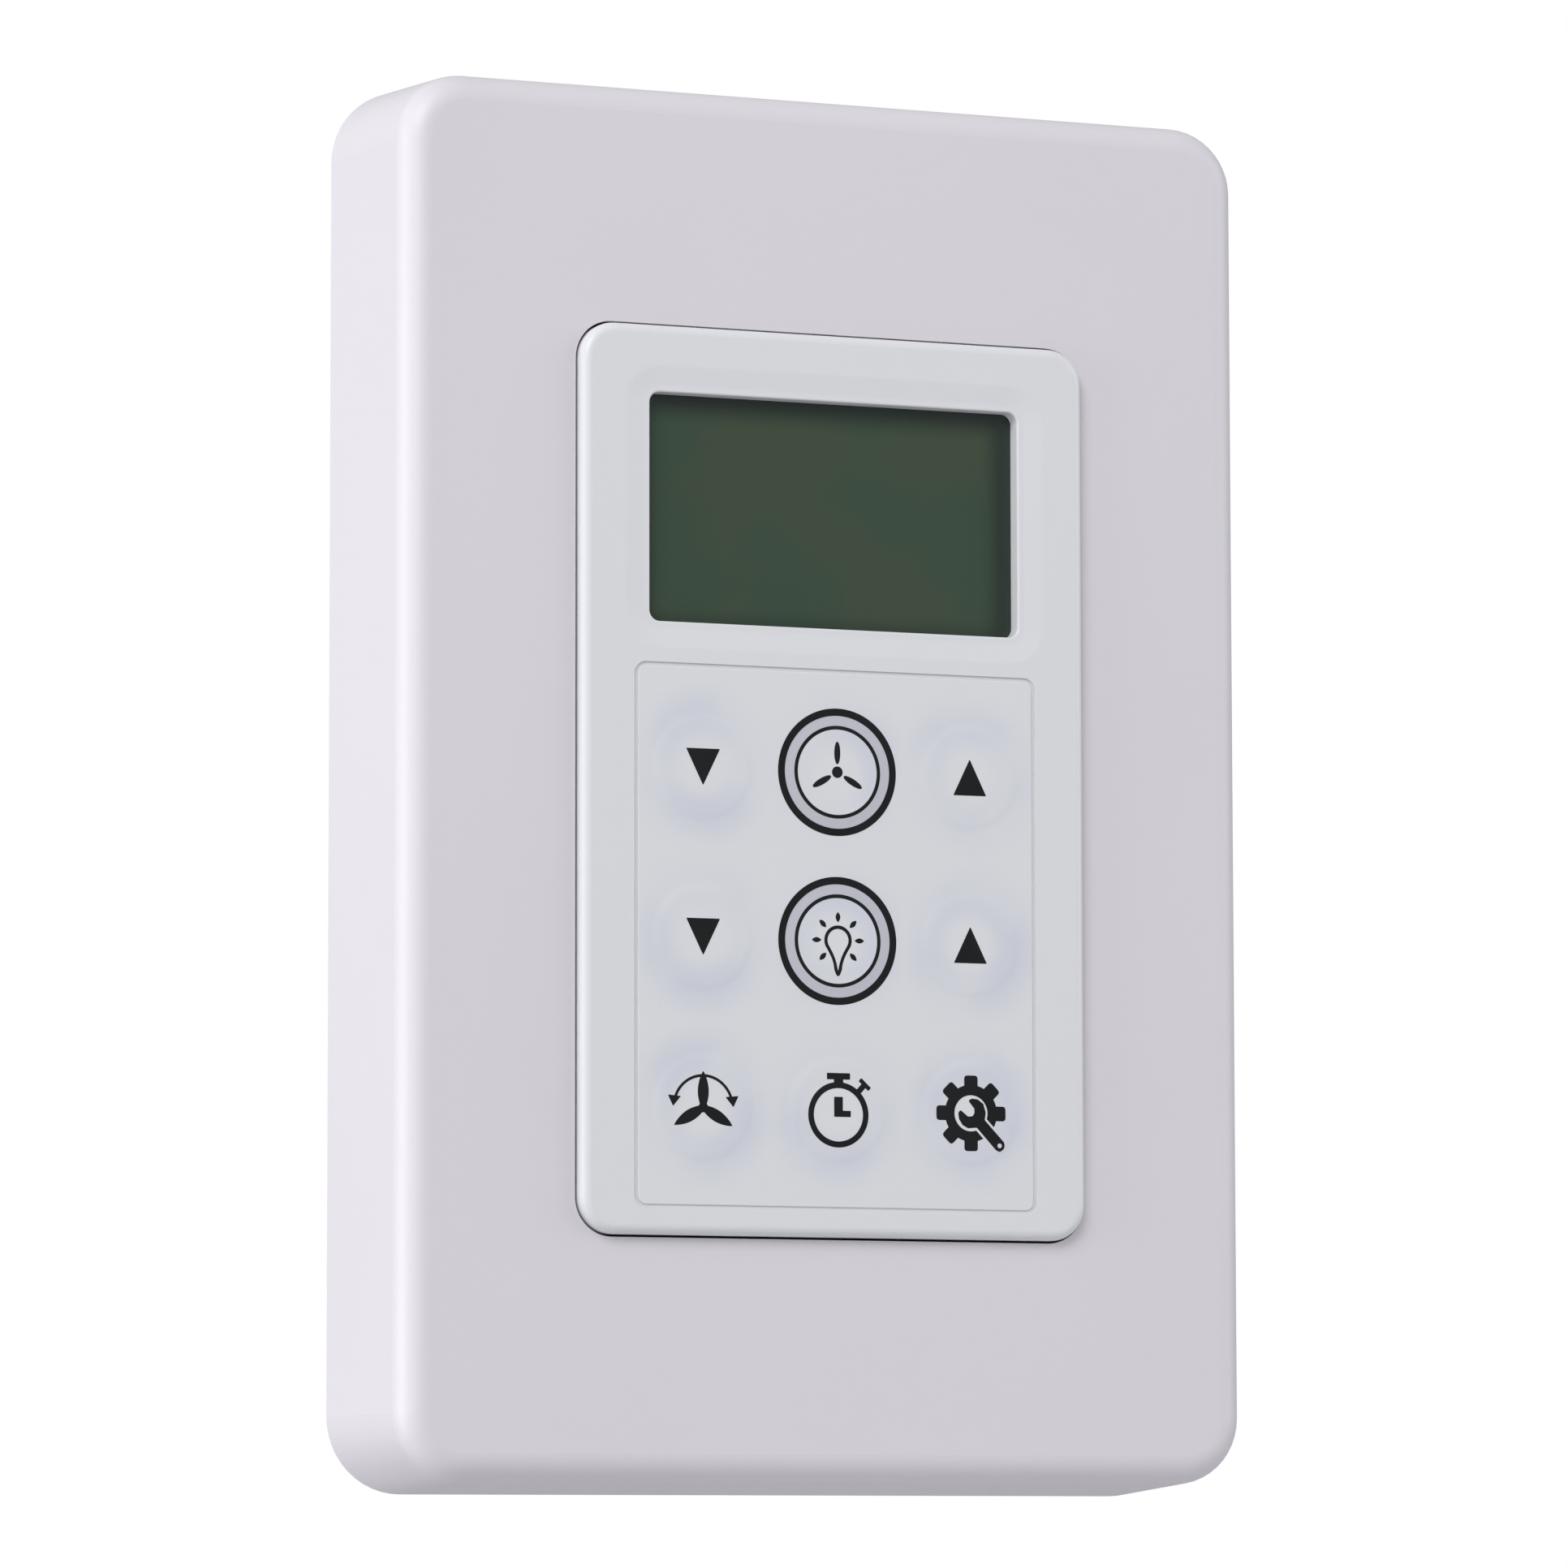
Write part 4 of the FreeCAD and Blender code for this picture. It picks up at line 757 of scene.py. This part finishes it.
def printTimer():
    s = symbols
    z = s["watchDrop"]
    outer = s["watchRadius"]
    crown = bar(-0.99, z + 3.18, 1.08, z + 3.18, 0.53)
    stem = bar(0.05, z + 2.5, 0.05, z + 3.1, 0.84)
    tilt = 47
    middle = polar(3.48, tilt, 0.03, z)
    along = polar(0.595, tilt - 90)
    pusher = bar(middle[0] - along[0], middle[1] - along[1],
                 middle[0] + along[0], middle[1] + along[1], 0.36)
    neck = bar(*polar(outer - 0.1, tilt, 0.03, z), *middle, 0.48)
    ring = disc(outer, 0.03, z, 96)
    hands = [(-0.35, z - 0.17), (1.14, z - 0.17), (1.14, z + 0.34), (0.43, z + 0.34), (0.43, z + 1.48),
             (-0.35, z + 1.48)]
    hole = disc(outer - s["watchLine"], 0.03, z, 96)
    # the hands stand inside the cut-out, so they are printed as their own piece
    case = [ring, rounded(crown, 0.05), stem, rounded(pusher, 0.08), neck]
    printSymbol("timerCase", "timer", case, [hole])
    printSymbol("timerHands", "timer", [rounded(hands, 0.07)])


def printSettings():
    s = symbols
    teeth = []
    for i in range(8):
        tip = polar(s["gearOuter"], 45 * i)
        base = polar(1.8, 45 * i)
        teeth.append(rounded(bar(*base, *tip, s["gearTooth"]), 0.3))
    body = disc(s["gearRoot"], sides=96)
    # open-ended spanner: its jaw at the upper left and its shank to the lower right
    spanner = [(-0.96, 0.27), (-1.16, 0.0), (-1.08, -0.5), (-0.78, -0.98), (-0.28, -1.25), (0.52, -1.18),
               (2.26, -3.02), (2.6, -3.17), (2.98, -2.9), (3.05, -2.6), (2.99, -2.35), (1.25, -0.54),
               (1.34, 0.1), (1.12, 0.8), (0.62, 1.17), (0.09, 1.23), (-0.25, 1.05), (0.30, 0.40),
               (0.31, 0.05), (0.16, -0.24), (-0.28, -0.27)]
    eye = disc(0.2, 2.6, -2.65, sides=32)
    clear = [bar(0.5, -0.47, 2.62, -2.68, 0.98 + 2 * s["gap"]), disc(0.49 + s["gap"], 2.62, -2.68)]
    printSymbol("settingsGear", "settings", [body] + teeth, [disc(s["gearHole"])] + clear)
    printSymbol("settingsSpanner", "settings", [rounded(spanner, 0.2)], [eye])


# the two long screws into the wall box, with real threads, in mm
boxScrew = {
    "pitch": 0.794, "core": 1.33, "neck": 1.4, "neckEnd": 0.3, "tip": 0.35, "turns": 12, "sides": 48,
    "runIn": 1.2, "runOut": 0.5, "ridgeSlope": 2.6, "ridgeHalf": 0.46,
    "headTall": 2.2, "rimShare": 0.35, "flatShare": 0.62, "domeRows": 8, "flatRows": 14,
    "recess": 0.95, "recessArm": 1.75, "recessWide": 0.4,
}


def threadShape(turn):
    # height of the ridge through one turn, from root to crest and back
    s = boxScrew
    return max(0.0, min(1.0, s["ridgeSlope"] * (s["ridgeHalf"] - abs(turn % 1.0 - 0.5))))


def screwRows(front, rear, headRadius, crest):
    # the screw as rows from tip to head: depth, radius at an angle, and whether the row is on the flat face
    s = boxScrew
    rows = [(rear, lambda a: 0.0, False)]
    length = rear - s["tip"]
    count = int(length / s["pitch"] * s["turns"])
    for i in range(count + 1):
        y = rear - length * i / count
        fade = min(1.0, (rear - y) / s["runIn"] + 0.15, (y - s["neckEnd"]) / s["runOut"] + 0.05)
        rows.append((y, lambda a, y=y, fade=fade: s["core"] + (crest - s["core"]) * fade *
                     threadShape(y / s["pitch"] + a / (2 * math.pi)), False))
    seat = front + s["headTall"]
    rows.append((s["neckEnd"], lambda a: s["neck"], False))
    rows.append((seat, lambda a: s["neck"], False))
    rows.append((seat, lambda a: headRadius, False))
    rows.append((seat - s["headTall"] * s["rimShare"], lambda a: headRadius, False))
    flat = s["flatShare"]
    for i in range(1, s["domeRows"] + 1):
        t = i / s["domeRows"] * math.pi / 2
        y = seat - s["headTall"] * (s["rimShare"] + (1 - s["rimShare"]) * math.sin(t))
        rows.append((y, lambda a, t=t: headRadius * (flat + (1 - flat) * math.cos(t)), False))
    for i in range(1, s["flatRows"] + 1):
        rows.append((front, lambda a, i=i: headRadius * flat * (1 - i / s["flatRows"]), True))
    return rows


def screwLoop(mesh, row, middle):
    # one row's points, sunk where they lie in the cross recess
    s = boxScrew
    y, radius, onFace = row
    points = []
    for k in range(s["sides"]):
        a = 2 * math.pi * k / s["sides"]
        x, z = radius(a) * math.cos(a), radius(a) * math.sin(a)
        reach, across = max(abs(x), abs(z)), min(abs(x), abs(z))
        sunk = onFace and reach < s["recessArm"] and across < s["recessWide"]
        depth = y + s["recess"] if sunk else y
        points.append(mesh.verts.new((mm * x, mm * depth, mm * (middle + z))))
    return points


def makeBoxScrews():
    low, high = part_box("box_screws")
    headRadius = high[0] / mm
    mount = [m for m in frame["record"]["mounts"] if m["name"] == "box_screws"][0]
    rows = screwRows(low[1] / mm, high[1] / mm, headRadius, mount["dims"]["stud_r_mm"])
    mesh = bmesh.new()
    sides = boxScrew["sides"]
    for side in (1, -1):
        middle = side * (high[2] / mm - headRadius)
        loops = [screwLoop(mesh, row, middle) for row in rows]
        for first, second in zip(loops, loops[1:]):
            for k in range(sides):
                j = (k + 1) % sides
                mesh.faces.new((first[k], first[j], second[j], second[k]))
    bmesh.ops.remove_doubles(mesh, verts=mesh.verts, dist=0.00002 * mm)
    bmesh.ops.recalc_face_normals(mesh, faces=mesh.faces)
    screws = makeObject("boxScrews", mesh, "screwZinc")
    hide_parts("box_screws")
    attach(screws, "control")


# the finish of each kind of part
finishes = {
    "cover_plastic": "coverPlastic", "module_plastic": "modulePlastic", "keypad_film": "keypadFilm",
    "key_plastic": "keyPlastic", "stem_plastic": "stemPlastic", "black_plastic": "blackPlastic",
    "spring_steel": "springSteel", "polarizer": "displayFilm", "display_glass": "displayPane",
    "light_guide": "lightGuide", "reflector": "reflectorFilm", "white_plastic": "whitePlastic",
    "contact_rubber": "contactRubber", "lamp": "lampBody", "circuit_board": "circuitBoard",
    "screw_steel": "screwZinc", "chip_black": "chipBlack", "bright_metal": "brightTin",
    "yoke_steel": "yokeSteel", "core_iron": "coreIron", "capacitor_sleeve": "capacitorSleeve",
    "fuse_glass": "fuseCeramic", "absorber_blue": "absorberBlue", "terminal_green": "terminalGreen",
}


def dressNodes():
    slots = {part["node"]: part["material_slot"] for part in frame["record"]["subparts"]}
    for name, node in frame["nodes"].items():
        node.data.materials.clear()
        node.data.materials.append(materials[finishes[slots[name]]])


makeMouldings()
makeMetals()
makeBoardMaterial()
makeGlass()
makeDisplayMaterial()
makeFilmMaterial()
makeInks()
print("materials made:", len(materials))
makeCamera()
makeLights()
makeFloor()
print("camera, lights and floor set")
dressNodes()
print("parts dressed")
makeFilmSheet()
makePads()
print("keypad film made")
printArrows()
printFan()
printBulb()
printReverse()
printTimer()
printSettings()
print("symbols printed")
makeBoxScrews()
print("box screws threaded")
